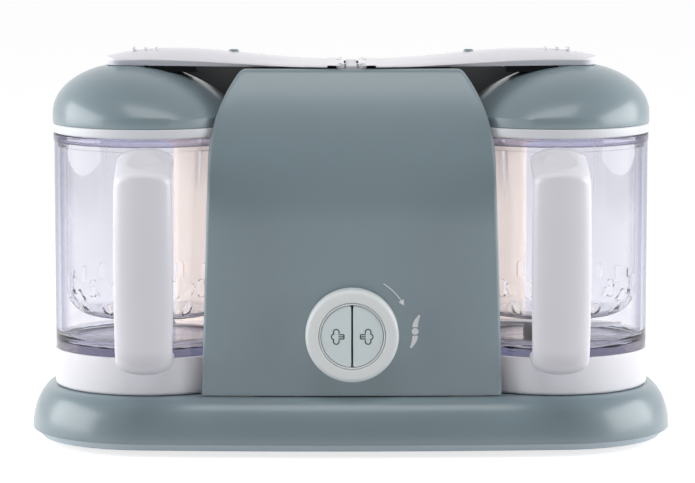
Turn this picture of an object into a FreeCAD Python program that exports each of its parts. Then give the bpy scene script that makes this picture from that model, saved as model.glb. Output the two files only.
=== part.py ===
import FreeCAD, Part
import math
import os

# Baby food maker: two clear bowls beside a column, each under a hinged steam lid.
# Millimetres. X to the right, Y away from the user, Z up, origin on the table.

# Clearances
fit_gap = 0.05
seat_gap = 0.1
run_gap = 0.3

# Base
base_back = 115.0
foot_height = 4.0
pan_height = 4.5
shell_height = 27.5
flare_out = 14.5
front_bow = 4.6
side_run = 12.0
shell_wall = 3.0
pan_inset = 2.0
pan_draft = 4.0
pan_plate = 2.5
foot_radius = 9.0
foot_taper = 1.0
foot_outboard = 24.0
foot_forward = 34.0
foot_back_inset = 50.0
screw_radius = 1.5
screw_head = 3.2
screw_length = 15.0
screw_half_pitch = 70.0
screw_side_inset = 30.0
screw_side_rearward = 41.0
screw_front_inset = 20.1
screw_back_inset = 31.0
boss_radius = 4.5
vent_count = 8
vent_width = 3.0
vent_length = 30.0
vent_pitch = 8.0
gland_offset = 62.0
gland_radius = 6.5
gland_bore = 3.6
gland_length = 11.0
gland_lip = 2.0
gland_lip_thick = 3.0

# Bowls
bowl_forward = 16.0
bowl_radius = 59.2
bowl_wall = 3.2
bowl_floor = 4.0
bowl_height = 134.4
bowl_corner = 8.0
rim_wall = 1.9
ledge_drop = 8.0
skirt_lip = 0.3
skirt_wall = 2.5
skirt_height = 23.3
skirt_web = 3.5
skirt_edge = 2.0
locator_height = 5.0
locator_wall = 2.9

# Steam baskets
basket_gap = 4.0
basket_wall = 1.8
basket_clear = 2.6
basket_corner = 16.0
basket_rim_height = 6.0
slot_count = 18
slot_width = 5.0
slot_start = 4.0
slot_low_height = 8.0
slot_band = 3.0
slot_high_height = 11.0
rib_drop = 44.0
rib_reach = 2.8
rib_width = 2.4
rib_angle = 36.0

# Handles
handle_width = 36.0
handle_thick = 15.0
handle_reach = 39.8
handle_drop = 5.0
handle_hang = 6.6
handle_bend = 9.5
handle_slope = 10.5
thumb_length = 26.0
thumb_width = 20.0
thumb_depth = 2.0
thumb_place = 0.6

# Lids
collar_lip = 1.1
collar_height = 5.7
collar_edge = 1.0
liner_plate = 2.6
liner_inset = 1.5
dome_band = 6.0
dome_rise = 30.0
dome_flat = 0.8
dome_shift = 13.0
dome_lip = 0.8
dome_wall = 2.6
seal_inset = 3.6
seal_width = 3.2
seal_height = 1.6

# Lid arms
arm_shift = 1.0
arm_tip_half = 13.0
arm_tip_past = 26.0
arm_tip_corner = 10.0
arm_crest_past = 2.0
arm_rise = 10.0
arm_tip_fall = 2.6
arm_edge_hinge = 1.4
arm_edge_middle = 3.4
arm_edge_crest = 4.5
arm_edge_tip = 3.8
arm_cover = 0.8
arm_swell = 0.4
arm_slit_length = 15.0
arm_slit = 1.3
ridge_count = 3
ridge_pitch = 7.0
ridge_radius = 1.2
ridge_length = 13.0
valve_inboard = 53.0
valve_radius = 3.2
valve_height = 1.4
valve_sink = 4.0
valve_edge = 0.8

# Hinge
pin_spread = 6.8
pin_lift = 0.4
pin_radius = 1.2
barrel_radius = 2.8
barrel_inset = 4.5
barrel_room = 2.0
knuckle_half = 3.0

# Column
column_half = 63.0
panel_inset = 2.1
panel_wall = 3.2
panel_edge = 2.4
panel_foot_inboard = 33.8
panel_shoulder_inboard = 38.1
panel_top_inboard = 58.5
panel_shoulder_drop = 55.2
panel_lean = 28.0
panel_lean_height = 95.2
deck_clear = 0.8
deck_plate = 5.0
deck_fall = 19.2
deck_rim = 10.0
deck_level = 40.0
deck_edge = 3.0
column_wall = 3.0
column_inset = 3.5
nest_gap = 3.5
nest_sweep = 72.0
nose_radius = 9.0
column_corner = 14.0
rear_vent_count = 9
rear_vent_height = 34.0

# Boilers in the column
boiler_margin = 3.9
boiler_lip = 3.0
boiler_wall = 0.8
boiler_depth = 68.0
flange_plate = 1.5
heater_height = 7.0
heater_inset = 4.0
boiler_seal_width = 4.0
boiler_seal_groove = 1.2

# Control knob on the front panel
knob_height = 39.3
button_radius = 18.9
button_slit = 1.7
button_thick = 6.0
button_recess = 1.1
button_edge = 0.8
button_travel = 2.0
plunger_radius = 3.0
plunger_tail = 1.0
sleeve_wall = 1.0
sleeve_recess = 3.0
ring_width = 8.0
ring_proud = 13.5
ring_round = 3.0
hub_rim = 11.8
hub_plate = 2.0
hub_depth = 12.0
board_margin = 3.5
board_height = 46.0
board_plate = 1.6
board_gap = 6.0
key_half = 3.0
post_radius = 3.0
spring_wire = 1.2
ring_spring_inset = 2.0
ring_spring_length = 3.0

# Drive train
motor_setback = 46.0
motor_radius = 32.0
motor_height = 80.0
motor_wall = 2.0
armature_radius = 20.0
armature_height = 50.0
motor_shaft_radius = 2.5
motor_shaft_tail = 4.0
bush_radius = 8.0
drive_pulley_radius = 9.0
driven_pulley_radius = 27.0
belt_lift = 8.0
belt_width = 6.0
belt_thick = 2.0
pulley_flange = 1.0
spindle_radius = 4.0
bearing_radius = 7.5
bearing_length = 9.0
bearing_proud = 0.5
coupling_radius = 14.0
coupling_height = 9.0
coupling_step = 2.0
coupling_collar = 4.0
star_points = 6
star_outer = 9.5
star_inner = 7.0
star_depth = 6.0
shaft_radius = 3.0
shaft_bush_radius = 8.0
shaft_bush_flange = 11.0
shaft_bush_lip = 2.5
shaft_bush_proud = 0.4
hub_radius = 18.0
hub_height = 7.6
hub_edge = 2.5
blade_reach = 44.0
blade_plate = 1.5
nut_radius = 6.0
nut_height = 4.0
nut_edge = 2.0
nut_cap = 1.0

# Heights, stacked from the table up
shell_foot = foot_height + pan_height
base_top = shell_foot + shell_height
skirt_bottom = base_top + run_gap
skirt_top = skirt_bottom + skirt_height
bowl_inner_floor = skirt_top + bowl_floor
lid_rim = skirt_top + bowl_height
ledge_z = lid_rim - ledge_drop
shaft_bush_top = bowl_inner_floor + shaft_bush_proud
hub_low = shaft_bush_top + run_gap
hub_top = hub_low + hub_height
blade_top = hub_top + blade_plate
nut_top = blade_top + nut_height
basket_bottom = nut_top + basket_clear
collar_bottom = lid_rim + run_gap
dome_foot = collar_bottom + collar_height
dome_ledge = dome_foot + dome_band
dome_top = dome_ledge + dome_rise
dome_peak = dome_top + dome_flat
arm_bottom = dome_top
arm_crest = arm_bottom + arm_rise
pin_z = arm_bottom + pin_lift
block_top = pin_z + barrel_radius
deck_top = arm_bottom - deck_clear
deck_rear_top = deck_top - deck_fall
deck_split = deck_rear_top - deck_rim
lean_start = deck_top - panel_lean_height
panel_shoulder_z = deck_top - panel_shoulder_drop
knob_z = base_top + knob_height
belt_z = foot_height + pan_plate + belt_lift
gland_z = (foot_height + pan_plate + base_top - shell_wall) / 2

# Places in plan
bowl_inner = bowl_radius - bowl_wall
skirt_radius = bowl_radius + skirt_lip
base_corner = skirt_radius
nest_radius = skirt_radius + nest_gap
bowl_x = column_half + nest_radius
bowl_y = -bowl_forward
base_half_width = bowl_x + base_corner + flare_out
rear_corner = base_back - flare_out - bowl_y - side_run
base_front = bowl_y - base_corner - front_bow
bow_reach = base_corner + front_bow
bow_radius = (bow_reach ** 2 + bowl_x ** 2 - base_corner ** 2) / (2 * front_bow)
bow_centre_y = base_front + bow_radius
column_back = base_back - flare_out - column_inset
deck_slope_start = bowl_y + deck_level
panel_front = base_front + panel_inset
panel_top_y = panel_front + panel_lean
basket_radius = bowl_inner - basket_gap
collar_radius = bowl_radius + collar_lip
dome_peak_x = bowl_x + dome_shift
dome_outer_reach = bowl_radius + dome_lip - dome_shift
dome_chord = bowl_radius + dome_shift
dome_inner_radius = (dome_chord ** 2 + (dome_rise + dome_flat) ** 2) / (2 * (dome_rise + dome_flat))
seal_inner = bowl_radius - seal_inset
arm_y = bowl_y - arm_shift
arm_tip_x = bowl_x + arm_tip_past
arm_crest_x = bowl_x + arm_crest_past
valve_x = bowl_x - valve_inboard
arm_hinge_half = arm_y - panel_top_y
barrel_front = panel_top_y + barrel_inset
barrel_rear = 2 * arm_y - barrel_front
hinge_slot = pin_spread + barrel_radius + 2 * run_gap
block_half = pin_spread - barrel_radius - 2 * run_gap
boiler_x = (hinge_slot + column_half) / 2
boiler_flange = (column_half - hinge_slot) / 2 - boiler_margin
boiler_radius = boiler_flange - boiler_lip
boiler_seal_outer = boiler_radius + boiler_seal_width / 2
handle_front = bowl_y - bowl_radius - handle_reach
sleeve_inner = button_radius + run_gap
sleeve_outer = sleeve_inner + sleeve_wall
ring_in = sleeve_outer + run_gap
ring_radius = ring_in + ring_width
ring_front = panel_front - ring_proud
ring_back = panel_front - run_gap
button_face = ring_front + button_recess
plunger_x = button_radius / 2
hub_flange = sleeve_outer + hub_rim
hub_back = panel_front + hub_depth
post_x = hub_flange - 1.5 * post_radius
board_y = hub_back + board_gap
motor_y = bowl_y + motor_setback

nodes = {}


def V(x, y, z):
    return FreeCAD.Vector(x, y, z)


def polar(x, y, radius, degrees, z):
    turn = math.radians(degrees)
    return V(x + radius * math.cos(turn), y + radius * math.sin(turn), z)


def flip(point):
    return V(-point.x, point.y, point.z)


def line(a, b):
    return Part.makeLine(a, b)


def arc(a, middle, b):
    return Part.Arc(a, middle, b).toShape()


def face(edges):
    return Part.Face(Part.Wire(edges))


def path(points):
    return [line(points[i], points[i + 1]) for i in range(len(points) - 1)]


def polygon(points):
    return face(path(points + points[:1]))


def rod(x, y, radius, low, high):
    return Part.makeCylinder(radius, high - low, V(x, y, low))


def tube(x, y, inner, outer, low, high):
    return rod(x, y, outer, low, high).cut(rod(x, y, inner, low, high))


def rod_along_y(x, z, radius, front, rear):
    return Part.makeCylinder(radius, rear - front, V(x, front, z), V(0, 1, 0))


def tube_along_y(x, z, inner, outer, front, rear):
    return rod_along_y(x, z, outer, front, rear).cut(rod_along_y(x, z, inner, front, rear))


def block(x0, x1, y0, y1, z0, z1):
    return Part.makeBox(x1 - x0, y1 - y0, z1 - z0, V(x0, y0, z0))


def turned(section, x, y):
    return section.revolve(V(x, y, 0), V(0, 0, 1), 360)


def joined(first, others):
    return first.fuse(others).removeSplitter()


def mirrored(shape):
    return shape.mirror(V(0, 0, 0), V(1, 0, 0))


def both(name, shape):
    nodes[name + "_right"] = shape
    nodes[name + "_left"] = mirrored(shape)


# Plan outline of the base: tangent arcs round the bowls, a bowed front, rounded rear corners
def base_outline(out, z):
    corner = base_corner + out
    side = bowl_x + corner
    back = base_back - flare_out + out
    rear = rear_corner + out
    rear_x = side - rear
    rear_y = back - rear
    turn = math.degrees(math.atan2(bowl_y - bow_centre_y, bowl_x))
    meet = polar(bowl_x, bowl_y, corner, turn, z)
    elbow = polar(bowl_x, bowl_y, corner, turn / 2, z)
    rear_elbow = polar(rear_x, rear_y, rear, 45, z)
    right = [V(side, bowl_y, z), V(side, rear_y, z), V(rear_x, back, z)]
    edges = [
        arc(flip(meet), V(0, base_front - out, z), meet),
        arc(meet, elbow, right[0]),
        line(right[0], right[1]),
        arc(right[1], rear_elbow, right[2]),
        line(right[2], flip(right[2])),
        arc(flip(right[2]), flip(rear_elbow), flip(right[1])),
        line(flip(right[1]), flip(right[0])),
        arc(flip(right[0]), flip(elbow), flip(meet)),
    ]
    return Part.Wire(edges)


# Solid of the flared base; the flare is a quarter ellipse from the top edge to the foot
def flared(inset):
    sections = []
    for angle in (0, 25, 50, 70, 90):
        turn = math.radians(angle)
        out = flare_out * math.sin(turn) - inset
        z = base_top - inset - (base_top - shell_foot) * (1 - math.cos(turn))
        sections.append(base_outline(out, z))
    return Part.makeLoft(sections, True)


def screw_places():
    places = [
        (base_half_width - screw_side_inset, bowl_y + screw_side_rearward),
        (screw_half_pitch, base_back - screw_back_inset),
        (screw_half_pitch, base_front + screw_front_inset),
    ]
    return places + [(-x, y) for x, y in places]


def foot_places():
    x = bowl_x + foot_outboard
    return [(side, y) for side in (x, -x) for y in (bowl_y - foot_forward, base_back - foot_back_inset)]


def make_base():
    shell = flared(0).cut(flared(shell_wall))
    ceiling = base_top - shell_wall / 2
    posts = [rod(x, y, boss_radius, shell_foot + pan_plate, ceiling) for x, y in screw_places()]
    posts.append(rod(bowl_x, bowl_y, bearing_radius + shell_wall, base_top - bearing_length, ceiling))
    locator = skirt_radius - skirt_wall - run_gap
    for x in (bowl_x, -bowl_x):
        posts.append(tube(x, bowl_y, locator - locator_wall, locator, ceiling, base_top + locator_height))
    shell = joined(shell, posts)
    screw_tip = foot_height + screw_length
    holes = [rod(x, y, screw_radius + fit_gap, 0, screw_tip + run_gap) for x, y in screw_places()]
    holes.append(rod(bowl_x, bowl_y, bearing_radius + fit_gap, 0, deck_top))
    holes.append(rod(0, motor_y, bush_radius + fit_gap, 0, deck_top))
    holes.append(rod_along_y(-gland_offset, gland_z, gland_radius + fit_gap, motor_y, base_back))
    nodes["base_shell"] = shell.cut(holes)

    low = base_outline(flare_out - pan_inset - pan_draft, foot_height)
    high = base_outline(flare_out - pan_inset, shell_foot)
    pan = Part.makeLoft([low, high], True, True)
    tray = Part.Face(base_outline(flare_out - pan_inset - pan_draft - shell_wall, foot_height + pan_plate))
    pan = pan.cut(tray.extrude(V(0, 0, shell_foot)))
    cuts = []
    for x, y in screw_places():
        cuts.append(rod(x, y, screw_radius + fit_gap, 0, shell_foot))
        cuts.append(rod(x, y, screw_head + seat_gap, 0, foot_height + pan_plate / 2))
    for i in range(vent_count):
        x = (i - (vent_count - 1) / 2) * vent_pitch
        rear = motor_y + vent_length / 2
        cuts.append(block(x - vent_width / 2, x + vent_width / 2, rear - vent_length, rear, 0, shell_foot))
    nodes["bottom_pan"] = pan.cut(cuts)

    screws = []
    for x, y in screw_places():
        seat = foot_height + pan_plate / 2
        head = rod(x, y, screw_head, seat - pan_plate / 2 + seat_gap, seat)
        screws.append(joined(head, [rod(x, y, screw_radius, seat, screw_tip)]))
    nodes["base_screws"] = Part.makeCompound(screws)
    feet = [Part.makeCone(foot_radius - foot_taper, foot_radius, foot_height, V(x, y, 0))
            for x, y in foot_places()]
    nodes["rubber_feet"] = Part.makeCompound(feet)
    inner_end = base_back - gland_length
    sleeve = rod_along_y(-gland_offset, gland_z, gland_radius, inner_end, base_back - seat_gap)
    lip_end = inner_end - gland_lip_thick
    collar = rod_along_y(-gland_offset, gland_z, gland_radius + gland_lip, lip_end, inner_end)
    bore = rod_along_y(-gland_offset, gland_z, gland_bore, motor_y, base_back)
    nodes["cord_gland"] = joined(sleeve, [collar]).cut(bore)


# Arc that leaves a point along a direction and ends at another point
def tangent_arc(start, direction, end):
    chord = end - start
    axis = direction.cross(chord)
    normal = axis.cross(direction)
    normal.normalize()
    radius = chord.dot(chord) / (2 * normal.dot(chord))
    centre = start + normal * radius
    middle = (start + end) * 0.5 - centre
    middle.normalize()
    return arc(start, centre + middle * radius, end)


# Everything behind the facade's bowed and leaning surface, a depth inside it
def behind_panel(depth):
    sweep = 2 * math.degrees(math.asin(base_half_width / bow_radius))
    over = arm_crest
    lean = panel_top_y - panel_front
    rise = deck_top - lean_start
    radius = (lean ** 2 + rise ** 2) / (2 * lean)
    centre_y = panel_front + radius
    inner = radius - depth
    top = math.degrees(math.asin((over - lean_start) / inner))
    start = V(0, panel_front + depth, lean_start)
    tip = V(0, centre_y - inner * math.cos(math.radians(top)), over)
    middle = V(0, centre_y - inner * math.cos(math.radians(top / 2)),
               lean_start + inner * math.sin(math.radians(top / 2)))
    foot = V(0, panel_front + depth, 0)
    edges = [line(foot, start), arc(start, middle, tip)]
    edges += path([tip, V(0, base_back, over), V(0, base_back, 0), foot])
    section = face(edges)
    section.rotate(V(0, bow_centre_y, 0), V(0, 0, 1), -sweep / 2)
    return section.revolve(V(0, bow_centre_y, 0), V(0, 0, 1), sweep)


# Front view of the facade: straight tapered sides that turn in at the shoulders
def panel_elevation():
    y = base_front - panel_lean
    foot = V(bowl_x - panel_foot_inboard, y, base_top)
    shoulder = V(bowl_x - panel_shoulder_inboard, y, panel_shoulder_z)
    top = V(bowl_x - panel_top_inboard, y, deck_top)
    right = tangent_arc(shoulder, shoulder - foot, top)
    left = right.mirror(V(0, 0, 0), V(1, 0, 0))
    edges = [line(flip(foot), foot), line(foot, shoulder), right, line(top, flip(top))]
    edges += [left, line(flip(shoulder), flip(foot))]
    wire = Part.Wire(Part.__sortEdges__(edges))
    return Part.Face(wire).extrude(V(0, -y, 0))


def make_front_panel():
    slab = behind_panel(0).common(panel_elevation())
    skin = behind_panel(0).Shells[0]
    edges = []
    for edge in slab.Edges:
        middle = edge.valueAt((edge.FirstParameter + edge.LastParameter) / 2)
        on_skin = skin.distToShape(Part.Vertex(middle))[0] < 0.01
        if on_skin and middle.y < 0 and middle.z > base_top + 1 and abs(middle.x) > 1:
            edges.append(edge)
    slab = slab.makeFillet(panel_edge, edges)
    panel = slab.cut(behind_panel(panel_wall))
    hole = rod_along_y(0, knob_z, sleeve_outer + seat_gap, base_front, 0)
    nodes["front_panel"] = panel.cut(hole)


# Plan of the column: flat flanks, a nest round each bowl, and a rear block
def column_plan(inset, low, high):
    nest = nest_radius + inset
    nose = nose_radius - inset
    corner = column_corner - inset
    back = column_back - inset
    nose_c = polar(bowl_x, bowl_y, nest_radius + nose_radius, 180 - nest_sweep, low)
    side = nose_c.x + nose
    corner_x = side - corner
    corner_y = back - corner
    points = [
        V(bowl_x - nest, base_front, low),
        V(bowl_x - nest, bowl_y, low),
        polar(bowl_x, bowl_y, nest, 180 - nest_sweep, low),
        V(side, nose_c.y, low),
        V(side, corner_y, low),
        V(corner_x, back, low),
    ]
    nest_middle = polar(bowl_x, bowl_y, nest, 180 - nest_sweep / 2, low)
    nose_middle = polar(nose_c.x, nose_c.y, nose, -nest_sweep / 2, low)
    corner_middle = polar(corner_x, corner_y, corner, 45, low)
    edges = [
        line(points[0], points[1]),
        arc(points[1], nest_middle, points[2]),
        arc(points[2], nose_middle, points[3]),
        line(points[3], points[4]),
        arc(points[4], corner_middle, points[5]),
        line(points[5], flip(points[5])),
        arc(flip(points[5]), flip(corner_middle), flip(points[4])),
        line(flip(points[4]), flip(points[3])),
        arc(flip(points[3]), flip(nose_middle), flip(points[2])),
        arc(flip(points[2]), flip(nest_middle), flip(points[1])),
        line(flip(points[1]), flip(points[0])),
        line(flip(points[0]), points[0]),
    ]
    return face(edges).extrude(V(0, 0, high - low))


# Side view of the deck's space: level over the boilers, sloping to the rear
def deck_profile(inset):
    x = base_half_width
    points = [
        V(-x, base_front, deck_split - 1),
        V(-x, base_front, deck_top - inset),
        V(-x, deck_slope_start, deck_top - inset),
        V(-x, column_back + 1, deck_rear_top - inset),
        V(-x, column_back + 1, deck_split - 1),
    ]
    return polygon(points).extrude(V(2 * x, 0, 0))


def make_column():
    inside = behind_panel(panel_wall + seat_gap)
    walls = column_plan(0, base_top, deck_split)
    walls = walls.cut(column_plan(column_wall, base_top - 1, deck_split + 1)).common(inside)
    vents = []
    for i in range(rear_vent_count):
        x = (i - (rear_vent_count - 1) / 2) * vent_pitch
        low = base_top + rear_vent_height / 2
        vents.append(block(x - vent_width / 2, x + vent_width / 2, column_back - 2 * column_wall,
                           column_back + 1, low, low + rear_vent_height))
    nodes["rear_cover"] = walls.cut(vents)

    deck = column_plan(0, deck_split, deck_top).common(deck_profile(0))
    edges = []
    for edge in deck.Edges:
        low, high = edge.BoundBox.ZMin, edge.BoundBox.ZMax
        rear = edge.BoundBox.YMax > deck_slope_start + 1
        if low > deck_rear_top - 2 and rear and high - low < deck_top - deck_rear_top + 2:
            if edge.BoundBox.YMin > deck_slope_start - 1 and low < deck_top - 1:
                edges.append(edge)
    deck = deck.makeFillet(deck_edge, edges)
    hollow = column_plan(column_wall, deck_split - 1, deck_top).common(deck_profile(deck_plate))
    deck = deck.cut(hollow).common(inside)
    floor = pin_z - barrel_radius - 2 * run_gap
    slot_rear = barrel_rear + barrel_room
    cuts = [block(-hinge_slot, hinge_slot, base_front, slot_rear, floor, arm_crest)]
    for x in (boiler_x, -boiler_x):
        cuts.append(rod(x, bowl_y, boiler_radius + boiler_wall + seat_gap, deck_split, arm_crest))
        cuts.append(rod(x, bowl_y, boiler_flange + seat_gap, deck_top - flange_plate, arm_crest))
    nodes["top_deck"] = deck.cut(cuts)

    spine = block(-block_half, block_half, barrel_front, barrel_rear, floor, block_top)
    ears = []
    for x in (pin_spread, -pin_spread):
        ears.append(rod_along_y(x, pin_z, barrel_radius, arm_y - knuckle_half, arm_y + knuckle_half))
    web = block(-pin_spread, pin_spread, arm_y - knuckle_half, arm_y + knuckle_half, floor, pin_z)
    hinge = joined(spine, ears + [web])
    for x in (pin_spread, -pin_spread):
        hinge = hinge.cut(rod_along_y(x, pin_z, pin_radius + fit_gap, base_front, base_back))
    nodes["hinge_block"] = hinge
    pin_front = barrel_front + barrel_room
    pin_rear = barrel_rear - barrel_room
    both("hinge_pin", rod_along_y(pin_spread, pin_z, pin_radius, pin_front, pin_rear))


def make_boilers():
    outer = boiler_radius + boiler_wall
    floor = deck_top - boiler_depth
    cup = rod(boiler_x, bowl_y, outer, floor - boiler_wall, deck_top)
    cup = cup.makeFillet(4 * boiler_wall, [cup.Edges[2]])
    well = rod(boiler_x, bowl_y, boiler_radius, floor, arm_crest)
    well = well.makeFillet(3 * boiler_wall, [well.Edges[2]])
    flange = rod(boiler_x, bowl_y, boiler_flange, deck_top - flange_plate, deck_top)
    both("boiler_cup", joined(cup, [flange]).cut(well))
    heater_top = floor - boiler_wall
    heater = tube(boiler_x, bowl_y, boiler_radius / 3, boiler_radius - heater_inset,
                  heater_top - heater_height, heater_top)
    both("heating_element", heater)


# Dome section at a height: centre and radius from its outer and inner profiles
def dome_level(z):
    climb = (z - dome_ledge) / (dome_peak - dome_ledge)
    outer = dome_peak_x + dome_outer_reach * math.sqrt(1 - climb ** 2)
    drop = z - dome_peak + dome_inner_radius
    inner = dome_peak_x - math.sqrt(dome_inner_radius ** 2 - drop ** 2)
    return (outer + inner) / 2, (outer - inner) / 2


# Solid of the lid's dome; the inset one is the space inside it
def dome_form(inset):
    count = 6
    rings = []
    for i in range(count + 1):
        z = dome_ledge + (dome_top - dome_ledge) * math.sin(math.radians(90 * i / count))
        x, radius = dome_level(z)
        rings.append(Part.Wire(Part.makeCircle(radius - inset, V(x, bowl_y, z - inset))))
    crown = Part.makeLoft(rings, True)
    x, radius = dome_level(dome_ledge)
    return crown.fuse(rod(x, bowl_y, radius - inset, dome_foot - inset, dome_ledge - inset))


def make_lids():
    dome = dome_form(0).cut(dome_form(dome_wall))
    both("lid_dome", dome.removeSplitter())
    collar = rod(bowl_x, bowl_y, collar_radius, collar_bottom, dome_foot)
    rim_edges = [edge for edge in collar.Edges if edge.BoundBox.ZLength < 0.01]
    collar = collar.makeFillet(collar_edge, rim_edges)
    pocket = rod(bowl_x, bowl_y, seal_inner - liner_inset, collar_bottom, dome_foot - liner_plate)
    seal_outer = seal_inner + seal_width
    groove = tube(bowl_x, bowl_y, seal_inner - seat_gap, seal_outer + seat_gap, collar_bottom,
                  collar_bottom + seal_height)
    both("lid_collar", collar.cut([pocket, groove]))
    both("lid_seal", tube(bowl_x, bowl_y, seal_inner, seal_outer, collar_bottom, collar_bottom + seal_height))


# Cross-section of the arm: flat under, short upright edges, crowned top
def arm_section(x, half, edge_z, crest_z):
    front = arm_y - half
    rear = arm_y + half
    points = [V(x, front, edge_z), V(x, front, arm_bottom), V(x, rear, arm_bottom), V(x, rear, edge_z)]
    return Part.Wire(path(points) + [arc(points[3], V(x, arm_y, crest_z), points[0])])


def arm_half(x):
    share = (x - pin_spread) / (arm_tip_x - pin_spread)
    return arm_hinge_half + (arm_tip_half - arm_hinge_half) * share


def make_arms():
    barrel_top = pin_z + barrel_radius
    middle_x = (pin_spread + arm_crest_x) * 2 / 3
    stations = [
        (pin_spread, arm_bottom + arm_edge_hinge, barrel_top + arm_cover),
        (middle_x, arm_bottom + arm_edge_middle, (barrel_top + 2 * arm_crest) / 3 + arm_swell),
        (arm_crest_x, arm_bottom + arm_edge_crest, arm_crest),
        (arm_tip_x, arm_bottom + arm_edge_tip, arm_crest - arm_tip_fall),
    ]
    sections = [arm_section(x, arm_half(x), edge_z, crest_z) for x, edge_z, crest_z in stations]
    arm = Part.makeLoft(sections, True)
    corners = []
    for edge in arm.Edges:
        box = edge.BoundBox
        if box.XMin > arm_tip_x - 0.1 and box.YLength < 0.1:
            corners.append(edge)
    arm = arm.makeFillet(arm_tip_corner, corners)
    slit = block(0, arm_slit_length, arm_y - 2 * arm_hinge_half, arm_y + 2 * arm_hinge_half,
                 base_top, arm_bottom + arm_slit)
    arm = arm.cut(slit)
    barrel = rod_along_y(pin_spread, pin_z, barrel_radius, barrel_front, barrel_rear)
    ridges = []
    for i in range(ridge_count):
        x = arm_crest_x + (i - (ridge_count - 1) / 2) * ridge_pitch
        ridges.append(rod_along_y(x, arm_crest - ridge_radius / 3, ridge_radius,
                                  arm_y - ridge_length / 2, arm_y + ridge_length / 2))
    arm = joined(arm, [barrel] + ridges)
    knuckle = knuckle_half + run_gap
    clear = barrel_radius + 2 * run_gap
    valve_seat = arm_crest - valve_sink
    seal_inside = boiler_seal_outer - boiler_seal_width
    seal_top = arm_bottom + boiler_seal_groove
    over = arm_crest + arm_rise
    cuts = [
        block(0, pin_spread + clear, arm_y - knuckle, arm_y + knuckle, 0, over),
        rod_along_y(pin_spread, pin_z, pin_radius + fit_gap, base_front, base_back),
        block(-pin_spread, pin_spread - barrel_radius, base_front, base_back, 0, over),
        rod(valve_x, arm_y, valve_radius + seat_gap, valve_seat, over),
        tube(boiler_x, bowl_y, seal_inside, boiler_seal_outer, 0, seal_top),
    ]
    both("lid_arm", arm.cut(cuts))
    cap = rod(valve_x, arm_y, valve_radius, valve_seat, valve_seat + valve_height)
    cap = cap.makeFillet(valve_edge, [cap.Edges[0]])
    both("lid_valve", cap)
    seal = tube(boiler_x, bowl_y, seal_inside + seat_gap, boiler_seal_outer - seat_gap,
                deck_top + run_gap, seal_top)
    both("boiler_seal", seal)


# Radial section of the bowl; a bore of zero closes the floor
def bowl_solid(bore):
    x = bowl_x
    y = bowl_y
    corner = V(x + bowl_inner - bowl_corner, y, bowl_inner_floor + bowl_corner)
    points = [
        V(x + bowl_inner - bowl_corner, y, bowl_inner_floor),
        V(x + bore, y, bowl_inner_floor),
        V(x + bore, y, skirt_top),
        V(x + bowl_radius, y, skirt_top),
        V(x + bowl_radius, y, lid_rim),
        V(x + bowl_radius - rim_wall, y, lid_rim),
        V(x + bowl_radius - rim_wall, y, ledge_z),
        V(x + bowl_inner, y, ledge_z),
        V(x + bowl_inner, y, bowl_inner_floor + bowl_corner),
    ]
    bend = corner + V(bowl_corner, 0, -bowl_corner) * math.sqrt(0.5)
    edges = path(points) + [arc(points[-1], bend, points[0])]
    return turned(face(edges), x, y)


def make_bowls():
    nodes["bowl_right"] = bowl_solid(shaft_bush_radius + fit_gap)
    nodes["bowl_left"] = mirrored(bowl_solid(0))
    x = bowl_x
    y = bowl_y
    skirt = rod(x, y, skirt_radius, skirt_bottom, skirt_top)
    foot_edges = [edge for edge in skirt.Edges if edge.BoundBox.ZMax < skirt_bottom + 0.1]
    skirt = skirt.makeFillet(skirt_edge, foot_edges)
    skirt = skirt.cut(rod(x, y, skirt_radius - skirt_wall, skirt_bottom, skirt_top - skirt_web))
    both("bowl_skirt", skirt.cut(rod(x, y, shaft_bush_radius + fit_gap, skirt_bottom, skirt_top)))


def basket_cup(radius, low, corner, high):
    cup = rod(bowl_x, bowl_y, radius, low, high)
    edges = [edge for edge in cup.Edges if edge.BoundBox.ZMax < low + 0.1]
    return cup.makeFillet(corner, edges)


def make_baskets():
    rim = bowl_radius - rim_wall - run_gap
    inner = basket_radius - basket_wall
    top = ledge_z + basket_rim_height
    cup = basket_cup(basket_radius, basket_bottom, basket_corner, top)
    ribs = [tube(bowl_x, bowl_y, inner, rim, ledge_z, top)]
    for turn in (rib_angle, -rib_angle, 180 + rib_angle, 180 - rib_angle):
        start = bowl_x + basket_radius - basket_wall / 2
        points = [V(start, bowl_y - rib_width / 2, ledge_z + 1),
                  V(bowl_x + basket_radius + rib_reach, bowl_y - rib_width / 2, ledge_z + 1),
                  V(start, bowl_y - rib_width / 2, ledge_z - rib_drop)]
        rib = polygon(points).extrude(V(0, rib_width, 0))
        rib.rotate(V(bowl_x, bowl_y, 0), V(0, 0, 1), 90 + turn)
        ribs.append(rib)
    basket = joined(cup, ribs)
    hollow = basket_cup(inner, basket_bottom + basket_wall, basket_corner - basket_wall, top + 1)
    slots = []
    low_start = basket_bottom + slot_start
    high_start = low_start + slot_low_height + slot_band
    rows = [(low_start, low_start + slot_low_height), (high_start, high_start + slot_high_height)]
    for row, (low, high) in enumerate(rows):
        for i in range(slot_count):
            slot = block(basket_radius - basket_corner, bowl_radius, -slot_width / 2, slot_width / 2,
                         low, high)
            slot.rotate(V(0, 0, 0), V(0, 0, 1), 360 * (i + row / 2) / slot_count)
            slot.translate(V(bowl_x, bowl_y, 0))
            slots.append(slot)
    both("steam_basket", basket.cut([hollow] + slots))


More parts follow.
